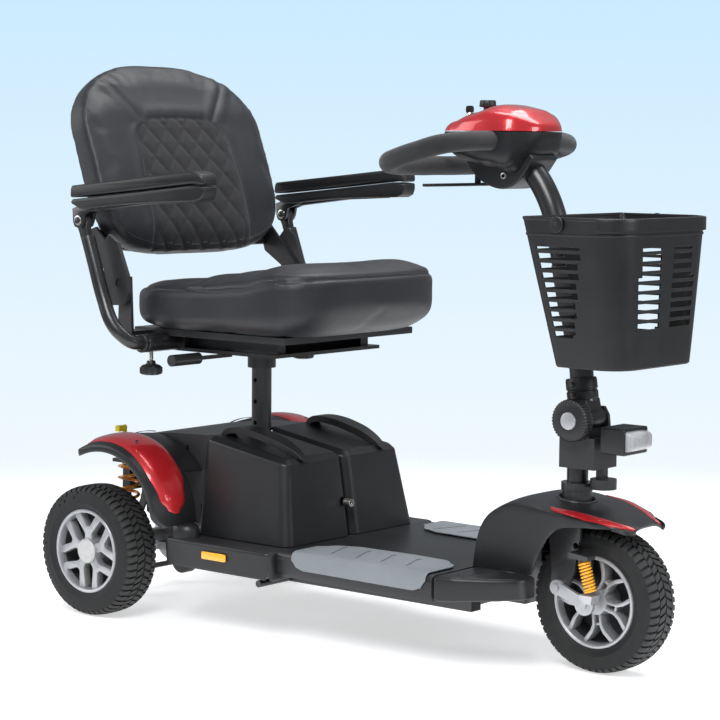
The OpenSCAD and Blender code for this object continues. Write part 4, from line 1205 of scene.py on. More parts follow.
def makeTray():
    f = trayFacts
    outline = roundRect(f["rear"], f["front"], -f["half"], f["half"], 0.014, 4)
    tray = plate("baseTray", outline, f["low"], f["top"], "z")
    moveVerts(tray, lambda c: Vector((c.x, c.y * (1 - 0.02 * (f["top"] - c.z) / 0.05), c.z)))
    pickFaces(tray, lambda face: face.normal.z > 0.9)
    bpy.ops.mesh.inset(thickness=0.006, depth=0.0)
    leaveEdit()
    bevelEdges(tray, 0.0075, 5, 30)
    cut = block("under", (-0.296, -0.2195, 0.08), (-0.0605, 0.2195, 0.1505), 0.003)
    ways = [cut]
    for s in (-1, 1):
        ways.append(block("railWay", (-0.310, s * 0.110 - 0.0145, 0.08), (-0.05, s * 0.110 + 0.0145, 0.1445), 0.0005))
    ways.append(block("rearWay", (-0.32, -0.127, 0.08), (-0.270, 0.127, 0.2), 0.0005))
    ways.append(block("footWay", (-0.30, -0.065, 0.08), (-0.22, 0.065, 0.2), 0.0005))
    carve(tray, ways)
    dress(tray, charcoalPlastic)
    parts = [tray]
    for s in (-1, 1):  # the rounded stub in front of each fender
        stub = turned("stub", [(0.0, 0.150), (0.0230, 0.150), (0.0228, 0.166), (0.0205, 0.1745), (0.0155, 0.1785),
            (0.0, 0.1798)], (-0.274, s * 0.1975, 0), "z", 48, 40)
        moveVerts(stub, lambda c: Vector((c.x - 0.0 + (c.x + 0.274) * 0.35 * (1 if c.x > -0.274 else 0), c.y, c.z)))
        dress(stub, charcoalPlastic)
        parts.append(stub)
    whole = joined("baseTray", parts)
    smooth(whole, 40)
    finishPiece(whole, charcoalPlastic, "chassis", ["base_tray"])
    lamps = []
    for s in (-1, 1):
        a, b = sorted((s * 0.2245, s * 0.2278))
        lamps.append(plate("sideReflector", roundRect(-0.2048, -0.1502, 0.1285, 0.1415, 0.0028, 4), a, b, "y", 0.0009,
            3))
    finishPiece(joined("sideReflectors", lamps), amberLens, "chassis", ["side_reflectors"])


makeTray()

# Deck: top panel with rolled sides, grey pads that wrap over its edges, and the nose round the front wheel
deckFacts = dict(rear=-0.056, front=0.268, half=0.205, low=0.115, top=0.157)


def makeDeck():
    f = deckFacts
    side = [(-f["half"] + 0.003, f["low"]), (f["half"] - 0.003, f["low"]), (f["half"], 0.125), (f["half"], 0.146)]
    side += arcPoints(f["half"] - 0.011, f["top"] - 0.011, 0.011, 0, 90, 6) + arcPoints(-f["half"] + 0.011,
        f["top"] - 0.011, 0.011, 90, 180, 6)
    side += [(-f["half"], 0.146), (-f["half"], 0.125)]
    deck = plate("deckPanel", side, f["rear"] + 0.0004, f["front"] - 0.0006, "x", 0.0012, 2, 50)
    cuts = [block("under", (f["rear"] + 0.004, -0.2008, 0.09), (f["front"] - 0.004, 0.2008, 0.1528), 0.003)]
    for s in (-1, 1):
        cuts.append(block("railWay", (-0.07, s * 0.110 - 0.0138, 0.09), (0.28, s * 0.110 + 0.0138, 0.1528), 0.0005))
    carve(deck, cuts)
    smooth(deck, 40)
    finishPiece(deck, charcoalPlastic, "chassis", ["deck_panel"])

    outline = [(0.2685, -0.2050), (0.300, -0.1968), (0.360, -0.160), (0.3835, -0.1375), (0.390, -0.124),
        (0.390, 0.124), (0.3835, 0.1375), (0.360, 0.160), (0.300, 0.1968), (0.2685, 0.2050)]
    nose = plate("deckNose", outline, 0.1155, 0.157, "z", 0.0095, 5, 15)
    moveVerts(nose, lambda c: Vector((c.x, c.y * (1 - 0.05 * max(0, (0.135 - c.z) / 0.02) * (c.x - 0.268) / 0.12),
        c.z + 0.006 * max(0, (0.136 - c.z) / 0.02) * (c.x - 0.268) / 0.12)))
    cuts = [block("noseUnder", (0.2725, -0.120, 0.09), (0.366, 0.120, 0.1528), 0.003)]
    well = block("wheelWell", (0.322, -0.0992, 0.10), (0.41, 0.0992, 0.18), 0.006, 4)
    cuts += [well, block("neckWay", (0.262, -0.0245, 0.10), (0.33, 0.0245, 0.17), 0.0005)]
    for s in (-1, 1):
        cuts.append(plate("noseHollow", [(0.2725, s * 0.118), (0.366, s * 0.118), (0.366, s * 0.140),
            (0.300, s * 0.186), (0.2725, s * 0.198)], 0.09, 0.1528, "z"))
        cuts.append(block("noseSeam", (0.3108, s * 0.15 - 0.06, 0.1562), (0.3118, s * 0.15 + 0.06, 0.160), 0.0001, 1))
    carve(nose, cuts)
    smooth(nose, 40)
    dress(nose, charcoalPlastic)
    parts = [nose]
    for s in (-1, 1):  # countersunk screws
        cap = turned("noseScrew", [(0.0, 0.1560), (0.0060, 0.1566), (0.0056, 0.1580), (0.0036, 0.1584),
            (0.0030, 0.1574), (0.0, 0.1574)], (0.296, s * 0.168, 0), "z", 28, 30)
        dress(cap, mouldedBlack)
        parts.append(cap)
    finishPiece(joined("deckNose", parts), charcoalPlastic, "chassis", ["deck_nose"], keepMaterials=True)


makeDeck()


# Foot pads: a thick rubber sheet folded over the deck's edge, with four long ribs sunk into it
def makeFootPad(s):
    across = 34
    long = 56
    deselectAll()
    bpy.ops.mesh.primitive_grid_add(x_subdivisions=long, y_subdivisions=across, size=1)
    pad = bpy.context.object
    pad.name = "footPad"
    top, half = 0.1592, 0.2068

    def inner(x):  # inboard edge of the pad
        return easeLine(x, [(-0.020, 0.142), (0.010, 0.112), (0.045, 0.100), (0.150, 0.096), (0.215, 0.099),
            (0.250, 0.122), (0.258, 0.140)])

    for vert in pad.data.vertices:
        u, v = vert.co.x + 0.5, vert.co.y + 0.5
        x = -0.020 + 0.278 * u
        low = easeLine(x, [(-0.020, 0.1460), (-0.008, 0.1345), (0.006, 0.1310), (0.232, 0.1300), (0.247, 0.1345),
            (0.258, 0.1480)])
        flat = half - 0.010 - inner(x)
        bend = 0.010 * pi / 2
        down = (top - 0.010) - low
        run = v * (flat + bend + max(0.0, down))
        if run < flat:
            y, z = inner(x) + run, top
        elif run < flat + bend:
            a = (run - flat) / 0.010
            y, z = half - 0.010 + 0.010 * sin(a), top - 0.010 + 0.010 * cos(a)
        else:
            y, z = half, top - 0.010 - (run - flat - bend)
        vert.co = (x, s * y, z)
    activate(pad)
    bpy.ops.object.mode_set(mode="EDIT")
    bpy.ops.mesh.select_all(action="SELECT")
    bpy.ops.mesh.normals_make_consistent(inside=False)
    leaveEdit()
    up = sum(p.normal.z for p in pad.data.polygons)
    if up < 0:
        activate(pad)
        bpy.ops.object.mode_set(mode="EDIT")
        bpy.ops.mesh.select_all(action="SELECT")
        bpy.ops.mesh.flip_normals()
        leaveEdit()
    thick = pad.modifiers.new("sheet", "SOLIDIFY")
    thick.thickness = 0.0021
    thick.offset = 1
    applyModifiers(pad)
    bevelEdges(pad, 0.0008, 2, 50)
    grooves = []
    for k in range(4):
        x = 0.022 + k * 0.052
        bar = plate("slot", roundRect(-0.0036, 0.0036, -0.034, 0.034, 0.0034, 4), 0.1598, 0.17, "z")
        turnedAbout(bar, radians(-20 * s), "Z", (0, 0, 0))
        moveVerts(bar, lambda c: Vector((c.x + x + 0.012, c.y + s * 0.150, c.z)))
        grooves.append(bar)
    carve(pad, grooves)
    smooth(pad, 40)
    return pad


pads = joined("footPads", [makeFootPad(-1), makeFootPad(1)])
finishPiece(pads, deckGrey, "chassis", ["foot_pads"])
print("deck done")


# A curved sheet: an even grid laid out by place(u, v), faced outwards and given its wall
def sheetOf(name, across, along, place, wall, towards, bevel=0.0, offset=-1):
    deselectAll()
    bpy.ops.mesh.primitive_grid_add(x_subdivisions=across, y_subdivisions=along, size=1)
    thing = bpy.context.object
    thing.name = name
    for vert in thing.data.vertices:
        vert.co = place(vert.co.x + 0.5, vert.co.y + 0.5)
    mendNormals(thing)
    middle = Vector((0, 0, 0))
    for face in thing.data.polygons:
        middle += face.normal * face.area
    if middle.dot(Vector(towards)) < 0:
        activate(thing)
        bpy.ops.object.mode_set(mode="EDIT")
        bpy.ops.mesh.select_all(action="SELECT")
        bpy.ops.mesh.flip_normals()
        leaveEdit()
    if wall:
        thick = thing.modifiers.new("wall", "SOLIDIFY")
        thick.thickness = wall
        thick.offset = offset
        applyModifiers(thing)
    if bevel:
        bevelEdges(thing, bevel, 2, 50)
    smooth(thing, 42)
    return thing


# Rear fenders: an arch that swells towards its front, rolled over at its outer edge
fenderFacts = dict(radius=0.188, swell=0.032, inner=0.1279, step=0.1755, outer=0.2615, wall=0.004)


def archRadius(t):
    f = fenderFacts
    return f["radius"] + f["swell"] * sin(radians(180 * (97 - t) / 88))


def onFender(t, y, lift=0.0, s=1):
    f = fenderFacts
    k = max(0.0, (abs(y) - f["step"]) / (f["outer"] - f["step"]))
    r = archRadius(t) - 0.013 * k ** 2.8 + lift
    return Vector((-0.455 + r * cos(radians(t)), s * abs(y), axleZ + r * sin(radians(t))))


def makeFender(s):
    f = fenderFacts

    def outerPlace(u, v):
        t = 98.5 - 80.0 * u
        tip = min(1, (1 - u) / 0.10, 1)
        back = min(1, u / 0.10)
        out = f["outer"] - 0.022 * (1 - tip) ** 2 - 0.014 * (1 - back) ** 2
        if v < 0.84:
            return onFender(t, f["step"] + (out - f["step"]) * v / 0.84, 0, s)
        k = (v - 0.84) / 0.16
        return onFender(t, out, -0.012 * k, s) + Vector((0, s * 0.0008 * sin(pi * k), 0))

    skin = sheetOf("fenderOuter", 60, 30, outerPlace, f["wall"], (0.6, 0, 1), 0.0012)

    def innerPlace(u, v):
        t = 98.5 - 56.0 * u
        return onFender(t, f["inner"] + (f["step"] + 0.004 - f["inner"]) * v, -0.0005 - 0.003 * (1 - v) ** 2, s)

    ledge = sheetOf("fenderInner", 40, 8, innerPlace, f["wall"], (0.3, 0, 1), 0.001)

    def flangePlace(u, v):  # the wall that turns down beside the battery pack
        t = 62 - 43.5 * u
        r = archRadius(t) - 0.0008 - 0.021 * v
        return Vector((-0.455 + r * cos(radians(t)), s * (f["step"] + 0.001), axleZ + r * sin(radians(t))))

    flange = sheetOf("fenderFlange", 30, 3, flangePlace, 0.004, (0, -s, 0), 0.001, 0)
    parts = [skin, ledge, flange]
    # the long swell over the frame, between the fender and the cover, with its finger slot drawn as a thin dark sheet
    # on the surface: painted shade standing in for the hollow
    slot = sheetOf("fenderSlotShade", 14, 5, lambda u, v: onFender(96 - 20 * u,
        0.1345 + 0.010 * (v - 0.5) * sin(pi * min(1, max(0, u * 0.94 + 0.03))) ** 0.5, 0.0008, s), 0.0008, (0, 0, 1))
    # the dark sheet is painted shade for the slot's hollow
    dress(slot, mouldedBlack)
    for each in parts:
        dress(each, charcoalPlastic)
    return parts + [slot]


def makeRedPanel(s):
    def edges(t):
        inner = easeLine(-t, [(-92, 0.1805), (-60, 0.1800), (-42, 0.1840), (-30, 0.1960), (-24.0, 0.2130)])
        outer = easeLine(-t, [(-92, 0.2440), (-75, 0.2490), (-45, 0.2530), (-32, 0.2480), (-26, 0.2360),
            (-24.0, 0.2230)])
        return inner, outer

    def place(u, v):
        t = 92 - 68 * u
        inner, outer = edges(t)
        dome = 0.0040 * (1 - abs(2 * v - 1) ** 5) * (1 - max(0, u - 0.88) / 0.12 * 0.6) * (0.35 + 0.65 * min(1,
            u / 0.03))
        return onFender(t, inner + (outer - inner) * v, 0.0006 + dome, s)

    panel = sheetOf("redPanel", 70, 26, place, 0.0016, (0.6, 0, 1), 0, -1)
    dress(panel, candyRed)
    spot = onFender(64, 0.222, 0.0040, s)
    out = Vector((cos(radians(64)), 0, sin(radians(64))))
    screw = turned("panelScrew", [(0.0, 0.0002), (0.0035, 0.0002), (0.0052, 0.0009), (0.0060, 0.0009),
        (0.0060, -0.0014), (0.0, -0.0014)], (0, 0, 0), "z", 28, 30)
    turn = out.to_track_quat("Z", "Y").to_matrix()
    moveVerts(screw, lambda c: spot + turn @ c)
    dress(screw, powderCoat)
    return [panel, screw]


fenderParts, redParts = [], []
for s in (-1, 1):
    fenderParts += makeFender(s)
    redParts += makeRedPanel(s)
finishPiece(joined("rearFenders", fenderParts), charcoalPlastic, "chassis", ["rear_fenders"], keepMaterials=True)

# Front fender: one crowned roof that falls to the nose behind and carries a skirt on each side
roofLine = smoothLine([(268, 157.4), (272, 190), (281, 226), (296, 252), (318, 267), (343, 274), (372, 273.5),
    (400, 270), (432, 266.5), (462, 261.5), (500, 252), (534, 242)], 6)
skirtLow = [(268, 157.4), (378, 157.4), (384, 172), (394, 196), (408, 220), (424, 234), (440, 239.5), (470, 241),
    (534, 240)]


def roofAt(x):  # x in millimetres
    return steps01(x, [p for p in roofLine if p[0] >= 268])


def planHalf(x):
    return easeLine(x, [(268, 97.5), (440, 97.0), (480, 84), (520, 58), (545, 30)])


def fenderTop(x, y, lift=0.0):  # millimetres in, metres out
    half = planHalf(x)
    return Vector((x, y, roofAt(x) - 9 * min(1, abs(y) / half) ** 3 + lift)) * mm


def makeFrontFender():
    count = len(roofLine) - 1

    def place(u, v):
        i = u * count
        a, b = roofLine[int(i)], roofLine[min(int(i) + 1, count)]
        k = i - int(i)
        x, z = a[0] + (b[0] - a[0]) * k, a[1] + (b[1] - a[1]) * k
        half = planHalf(x)
        side = 1 if v > 0.5 else -1
        w = abs(v - 0.5) * 2
        if w < 0.66:
            y = half * w / 0.66
            drop = 9 * (w / 0.66) ** 3 * min(1, max(0, (x - 262) / 40))
            return Vector((x, side * y, max(157.4, z - drop))) * mm
        k = (w - 0.66) / 0.34
        top = max(157.4, z - 9 * min(1, max(0, (x - 262) / 40)))
        low = min(top - 0.4, steps01(x, skirtLow))
        low = max(low, 157.2) if x < 380 else low
        return Vector((x + 1.5 * k, side * (half - 1.5 * k * k), top + (low - top) * k)) * mm

    shell = sheetOf("frontFender", count, 60, place, 0.0038, (0, 0, 1), 0.0011)
    hole = roundBar("stemHole", 0.028, 0.2, (0.400, 0, 0.28), "z", 0.0005, 64)
    carve(shell, [hole])
    smooth(shell, 42)
    dress(shell, charcoalPlastic)
    trim = turned("stemTrim", [(0.0278, 0.2655), (0.0325, 0.2672), (0.0345, 0.2700), (0.0335, 0.2722),
        (0.0300, 0.2728), (0.0281, 0.2705)], (0.400, 0, 0), "z", 56, 40)
    moveVerts(trim, lambda c: Vector((c.x, c.y, c.z - (c.x - 0.400) * 0.12 - 0.0006)))
    dress(trim, charcoalPlastic)
    finishPiece(joined("frontFender", [shell, trim]), charcoalPlastic, "chassis", ["front_fender"],
        keepMaterials=True)
    stripes = []
    for s in (-1, 1):
        def stripe(u, v):
            x = 404 + 128 * u
            inner = steps01(x, [(404, 77), (440, 70), (480, 57), (520, 38), (532, 34)])
            outer = steps01(x, [(404, 80), (412, 88), (440, 90), (470, 83), (505, 64), (532, 40)])
            lift = 1.4 * (1 - abs(2 * v - 1) ** 4) + 0.3
            return fenderTop(x, s * (inner + (outer - inner) * v), lift)
        strip = sheetOf("redStripe", 50, 12, stripe, 0.001, (0, 0, 1), 0, -1)
        dress(strip, candyRed)
        stripes.append(strip)
    return stripes


redParts += makeFrontFender()
finishPiece(joined("redPanels", redParts), candyRed, "chassis", ["red_panels"], keepMaterials=True)
print("fenders done")

# Control head: a prism at the parting line, domed above and below it
headFacts = dict(middle=0.242, long=0.0955, half=0.0765)


def domed(name, cuts, low, place):
    deselectAll()
    bpy.ops.mesh.primitive_cube_add(size=2)
    thing = bpy.context.object
    thing.name = name
    bpy.ops.object.mode_set(mode="EDIT")
    bpy.ops.mesh.select_all(action="SELECT")
    bpy.ops.mesh.subdivide(number_cuts=cuts)
    leaveEdit()
    for vert in thing.data.vertices:
        a, b, c = vert.co
        if low:
            c = -c
        flat = (abs(a) ** 3.4 + abs(b) ** 3.4) ** (-1 / 3.4) if max(abs(a), abs(b)) > 0.001 else 1
        m = max(abs(a), abs(b))
        flat = flat * m if m > 0.001 else 0
        full = (abs(a) ** 3.0 + abs(b) ** 3.0 + max(0, c) ** 3.0) ** (-1 / 3.0)
        if c <= 0:
            k = flat / m if m > 0.001 else 1
            a2, b2, c2 = a * k, b * k, c
        else:
            t = c if m >= 0.999 else 1.0
            k = flat / m if m > 0.001 else 1
            e = full
            a2, b2, c2 = a * (k * (1 - t) + e * t), b * (k * (1 - t) + e * t), c * (1 * (1 - t) + e * t)
        vert.co = place(a2, b2, c2)
    mendNormals(thing, 0.0001)
    smooth(thing, 50)
    return thing


def coverTop(x):
    return easeLine(x, [(0.146, 0.8500), (0.160, 0.8605), (0.185, 0.8700), (0.215, 0.8800), (0.262, 0.8915),
        (0.300, 0.8880), (0.338, 0.8700)])


def shellLow(x):
    return easeLine(x, [(0.146, 0.806), (0.200, 0.797), (0.262, 0.786), (0.296, 0.776), (0.325, 0.800),
        (0.338, 0.828)])


def headWidth(x):
    return easeLine(x, [(0.146, 0.050), (0.180, 0.066), (0.240, 0.0765), (0.300, 0.0765), (0.338, 0.064)])


def makeHead():
    f = headFacts

    def coverPlace(a, b, c):
        x = f["middle"] + a * f["long"]
        z = 0.8492 + (coverTop(x) - 0.8492) * (max(0, c)) if c > 0 else 0.8492 + c * 0.0002
        return Vector((x, b * headWidth(x) * (1 - 0.10 * max(0, c)), z))

    def shellPlace(a, b, c):
        x = f["middle"] + a * f["long"]
        z = 0.8476 - (0.8476 - shellLow(x)) * c if c > 0 else 0.8476 - c * 0.0002
        return Vector((x, b * headWidth(x) * 1.01, z))

    cover = domed("headCover", 22, False, coverPlace)
    well = roundBar("keyWell", 0.0085, 0.05, (0.178, 0, 0.872), "z", 0.0003)
    well2 = roundBar("dialWell", 0.0074, 0.05, (0.214, 0, 0.886), "z", 0.0003)
    carve(cover, [well, well2])
    smooth(cover, 45)
    finishPiece(cover, candyRed, "tiller", ["head_cover"])
    shell = domed("headShell", 22, True, shellPlace)
    button = roundBar("buttonWell", 0.0090, 0.04, (0.146, -0.030, 0.823), "x", 0.0003)
    carve(shell, [button])
    smooth(shell, 45)
    dress(shell, charcoalPlastic)
    belly = plate("headBelly", inMetres(smoothLine([(196, 800), (214, 778), (236, 764), (262, 757), (284, 760),
        (303, 772), (318, 790), (330, 806)], 4) + [(322, 815), (200, 812)]), -0.034, 0.034, "y", 0.007, 4, 30)
    dress(belly, charcoalPlastic)
    parts = [shell, belly]
    for s in (-1, 1):
        screw = turned("bellyScrew", [(0.0, 0.0330), (0.0052, 0.0330), (0.0052, 0.0352), (0.0030, 0.0356),
            (0.0026, 0.0340), (0.0, 0.0340)], (0, 0, 0), "y", 28, 30)
        moveVerts(screw, lambda c: Vector((c.x + 0.272, s * c.y, c.z + 0.778)))
        mendNormals(screw)
        dress(screw, zincSteel)
        parts.append(screw)
    lamps = [roundBar("chargeLamp", 0.0022, 0.004, (0.158 + 0.004 * i, 0.018 + 0.007 * i, 0.8625 + 0.0022 * i), "z",
        0.0006, 20) for i in range(3)]
    for lamp in lamps:
        dress(lamp, amberLens)
    finishPiece(joined("headShell", parts + lamps), charcoalPlastic, "tiller", ["head_shell"], keepMaterials=True)


makeHead()

# Foam loop: a thick grip all round, tilted down towards the rider
barFacts = dict(x=0.200, z=0.813, long=0.077, half=0.184, slope=15.6)


def loopPoint(a):
    f = barFacts
    x = (abs(cos(a)) ** 0.5) * (1 if cos(a) > 0 else -1) * f["long"]
    y = (abs(sin(a)) ** 0.5) * (1 if sin(a) > 0 else -1) * f["half"]
    t = radians(f["slope"])
    return Vector((f["x"] + x * cos(t), y, f["z"] + x * sin(t)))


loop = tube("foamLoop", [loopPoint(2 * pi * (i + 0.5) / 44) for i in range(44)], 0.0158, closed=True, sides=7,
    steps=4)
for vert, out in zip(loop.data.vertices, heldNormals(loop)):  # hand-worn foam is never quite even
    vert.co = vert.co + out * (wobble(vert.co * 30) * 0.0005 - 0.0002)
finishPiece(loop, gripFoam, "tiller", ["handlebar"])

wing = [(-0.135, 0.189), (-0.134, 0.186), (-0.060, 0.186), (-0.020, 0.184), (0.020, 0.184), (0.060, 0.186),
    (0.134, 0.186), (0.135, 0.189), (0.130, 0.198), (0.060, 0.2035), (-0.060, 0.2035), (-0.130, 0.198)]
lever = plate("throttleWing", [(b, a) for a, b in wing], 0.7602, 0.7650, "z", 0.0018, 3)
pin = roundBar("throttlePin", 0.005, 0.030, (0.196, 0, 0.778), "z")
finishPiece(joined("throttleWing", [lever, pin]), mouldedBlack, "throttle", ["throttle_lever"])


# Key with its round fob, the fluted speed dial and the horn button
def makeControls():
    barrel = turned("keyBarrel", [(0.0, 0.849), (0.0069, 0.849), (0.0069, 0.8700), (0.0064, 0.8712), (0.0064, 0.8765),
        (0.0052, 0.8790), (0.0, 0.8790)], (0.178, 0, 0), "z", 32, 30)
    blade = plate("keyBow", [(y, z) for y, z in roundRect(-0.0098, 0.0098, 0.8775, 0.8898, 0.0045, 5)], 0.1766,
        0.1794, "x", 0.0008, 2)
    dress(barrel, zincSteel)
    dress(blade, mouldedBlack)
    finishPiece(joined("ignitionKey", [barrel, blade]), zincSteel, "ignition_key", ["key"], keepMaterials=True)
    dial = turned("speedDial", [(0.0, 0.8560), (0.0068, 0.8560), (0.0068, 0.8865), (0.0132, 0.8876), (0.0138, 0.8890),
        (0.0130, 0.8965), (0.0118, 0.8983), (0.0, 0.8985)], (0.214, 0, 0), "z", 72, 40)
    for vert in dial.data.vertices:
        d = vert.co - Vector((0.214, 0, vert.co.z))
        if d.length > 0.0125:
            vert.co = Vector((0.214, 0, vert.co.z)) + d * (1 - 0.06 * (0.5 + 0.5 * cos(18 * atan2(d.y, d.x))))
    mark = block("dialMark", (0.2165, -0.0007, 0.8980), (0.2255, 0.0007, 0.8985), 0.0002, 1)
    dress(dial, mouldedBlack)
    dress(mark, hubSilver)
    finishPiece(joined("speedDial", [dial, mark]), mouldedBlack, "speed_dial", ["speed_knob"], keepMaterials=True)
    horn = turned("hornButton", [(0.0, 0.1551), (0.0078, 0.1551), (0.0078, 0.1425), (0.0066, 0.1404), (0.0, 0.1400)],
        (0, -0.030, 0.823), "x", 40, 30)
    finishPiece(horn, signalRed, "horn", ["horn_button"])


makeControls()

# Tiller: the glossy bent tube, its collar with two bolts and the basket's bracket
tillerPath = [(412, 424), (407, 445), (403, 480), (393, 526), (379, 590), (365, 650), (350, 710), (331, 752),
    (308, 783), (290, 801)]
tillerTube = tube("tillerTube", [(x * mm, 0, z * mm) for x, z in tillerPath], 0.019, sides=9, steps=8)
dress(tillerTube, powderCoat)
collar = turned("tillerCollar", [(0.0195, 0.0), (0.0243, 0.0), (0.0250, 0.0015), (0.0250, 0.0120), (0.0236, 0.0132),
    (0.0236, 0.0150), (0.0250, 0.0162), (0.0250, 0.0300), (0.0235, 0.0338), (0.0195, 0.0340)], (0, 0, 0), "z", 56, 30)
turnedAbout(collar, radians(-8), "Y", (0, 0, 0))
moveVerts(collar, lambda c: c + Vector((0.408, 0, 0.429)))
dress(collar, mouldedBlack)
eye = roundBar("tillerEye", 0.017, 0.051, (0.420, 0, 0.400), "y", 0.0015, 48)
neck = plate("tillerNeck", inMetres([(406, 398), (430, 398), (430, 414), (426, 432), (400, 432), (401, 414)]),
    -0.0215, 0.0215, "y", 0.003, 3)
bracket = plate("basketBracket", inMetres([(362, 640), (379, 560), (411.5, 560), (396, 640)]), -0.030, 0.030, "y",
    0.003, 3)
for each in (eye, neck, bracket):
    dress(each, mouldedBlack)
tillerParts = [tillerTube, collar, eye, neck, bracket]
for z in (0.438, 0.454):
    bolt = roundBar("collarBolt", 0.0038, 0.008, (0.4065 - (z - 0.438) * 0.13, -0.0258, z), "y", 0.0008, 6)
    dress(bolt, powderCoat)
    tillerParts.append(bolt)
finishPiece(joined("tillerTube", tillerParts), powderCoat, "tiller", ["tiller_tube"], keepMaterials=True)
print("control head and tiller done")


# Tilt knob: a deep fluted wheel with a plain silver cap
def makeTiltKnob():
    wheel = turned("tiltWheel", [(0.0, -0.0345), (0.0200, -0.0345), (0.0320, -0.0360), (0.0338, -0.0385),
        (0.0340, -0.0520), (0.0330, -0.0555), (0.0295, -0.0578), (0.0150, -0.0580), (0.0, -0.0580)],
            (0.420, 0, 0.400), "y", 160, 40)
    for vert in wheel.data.vertices:
        d = vert.co - Vector((0.420, vert.co.y, 0.400))
        if d.length > 0.0288:
            notch = (0.5 + 0.5 * cos(40 * atan2(d.z, d.x))) ** 2
            vert.co = Vector((0.420, vert.co.y, 0.400)) + d * (1 - 0.055 * notch)
    dress(wheel, mouldedBlack)
    cap = turned("tiltCap", [(0.0, -0.0570), (0.0130, -0.0570), (0.0140, -0.0585), (0.0132, -0.0602),
        (0.0110, -0.0608), (0.0, -0.0610)], (0.420, 0, 0.400), "y", 48, 30)
    dress(cap, castSilver)
    pin = roundBar("tiltPin", 0.005, 0.070, (0.420, 0, 0.400), "y")
    nut = roundBar("tiltNut", 0.009, 0.0065, (0.420, 0.03575, 0.400), "y", 0.0008, 6)
    dress(pin, zincSteel)
    dress(nut, zincSteel)
    finishPiece(joined("tiltKnob", [wheel, cap, pin, nut]), mouldedBlack, "tilt_clamp", ["tilt_knob"],
        keepMaterials=True)


makeTiltKnob()


# Headlight: a finned black housing with a silver bowl, two lamps and a ribbed clear lens
def makeHeadlight():
    arm = roundBar("lampArm", 0.012, 0.014, (0.459, 0, 0.371), "x", 0.001)
    shell = plate("lampShell", [(y, z) for y, z in roundRect(-0.034, 0.034, 0.350, 0.392, 0.004, 4)], 0.464, 0.5075,
        "x", 0.0014, 2, 50)
    hollow = block("lampHollow", (0.480, -0.0295, 0.3545), (0.530, 0.0295, 0.3875), 0.001)
    fins = [block("fin", (0.4700 + 0.006 * i, -0.04, 0.3895), (0.4725 + 0.006 * i, 0.04, 0.40), 0.0002,
        1) for i in range(5)]
    carve(shell, [hollow] + fins)
    smooth(shell, 35)
    bowl = block("lampBowl", (0.4795, -0.0292, 0.3548), (0.4815, 0.0292, 0.3872), 0.0004, 1)
    dress(arm, mouldedBlack)
    dress(shell, mouldedBlack)
    dress(bowl, hubSilver)
    parts = [arm, shell, bowl]
    for y in (-0.014, 0.014):
        cup = turned("lampCup", [(0.0, 0.4815), (0.0050, 0.4818), (0.0100, 0.4860), (0.0118, 0.4930),
            (0.0128, 0.4930), (0.0128, 0.4812)], (0, y, 0.371), "x", 40, 30)
        dress(cup, zincSteel)
        parts.append(cup)
    finishPiece(joined("headlightHousing", parts), mouldedBlack, "steering", ["headlight_housing"],
        keepMaterials=True)
    lens = plate("headlightLens", inMetres([(500.4, 355.4), (512, 356), (518.5, 360.5), (519.8, 364), (519.8, 378),
        (518.5, 381.5), (512, 386), (500.4, 386.6)]), -0.0286, 0.0286, "y", 0.002, 3)
    finishPiece(lens, lensClear, "steering", ["headlight_lens"])


makeHeadlight()
print("headlight done")


# Basket: a lofted slotted wall, a shallow floor, a stepped rim and a hinged band that rests round its front
basketFacts = dict(rim=0.7185, low=0.4905, wall=0.0034, rows=46)


def basketRing(z, grow=0.0):
    k = (z - 0.489) / (0.719 - 0.489)
    k2 = k ** 0.85
    x0 = 0.427 + (0.381 - 0.427) * k - grow
    x1 = 0.551 + (0.561 - 0.551) * k2 + grow
    half = 0.110 + (0.140 - 0.110) * k + grow
    r = 0.040 + 0.015 * k
    out = []
    for i in range(15):  # left side from the back corner to the front corner
        out.append((x0 + 0.010 + (x1 - r - x0 - 0.010) * i / 15, half))
    for i in range(9):
        a = radians(90 - 90 * i / 9)
        out.append((x1 - r + r * cos(a), half - r + r * sin(a)))
    for i in range(15):
        out.append((x1, (half - r) * (1 - 2 * i / 15)))
    for i in range(9):
        a = radians(-90 * i / 9)
        out.append((x1 - r + r * cos(a), -half + r + r * sin(a)))
    for i in range(15):
        out.append((x1 - r + (x0 + 0.010 - x1 + r) * i / 15, -half))
    for i in range(3):
        a = radians(-90 - 90 * i / 3)
        out.append((x0 + 0.010 + 0.010 * cos(a), -half + 0.010 + 0.010 * sin(a)))
    for i in range(12):
        out.append((x0, (-half + 0.010) * (1 - 2 * i / 12)))
    for i in range(3):
        a = radians(180 - 90 * i / 3)
        out.append((x0 + 0.010 + 0.010 * cos(a), half - 0.010 + 0.010 * sin(a)))
    return out


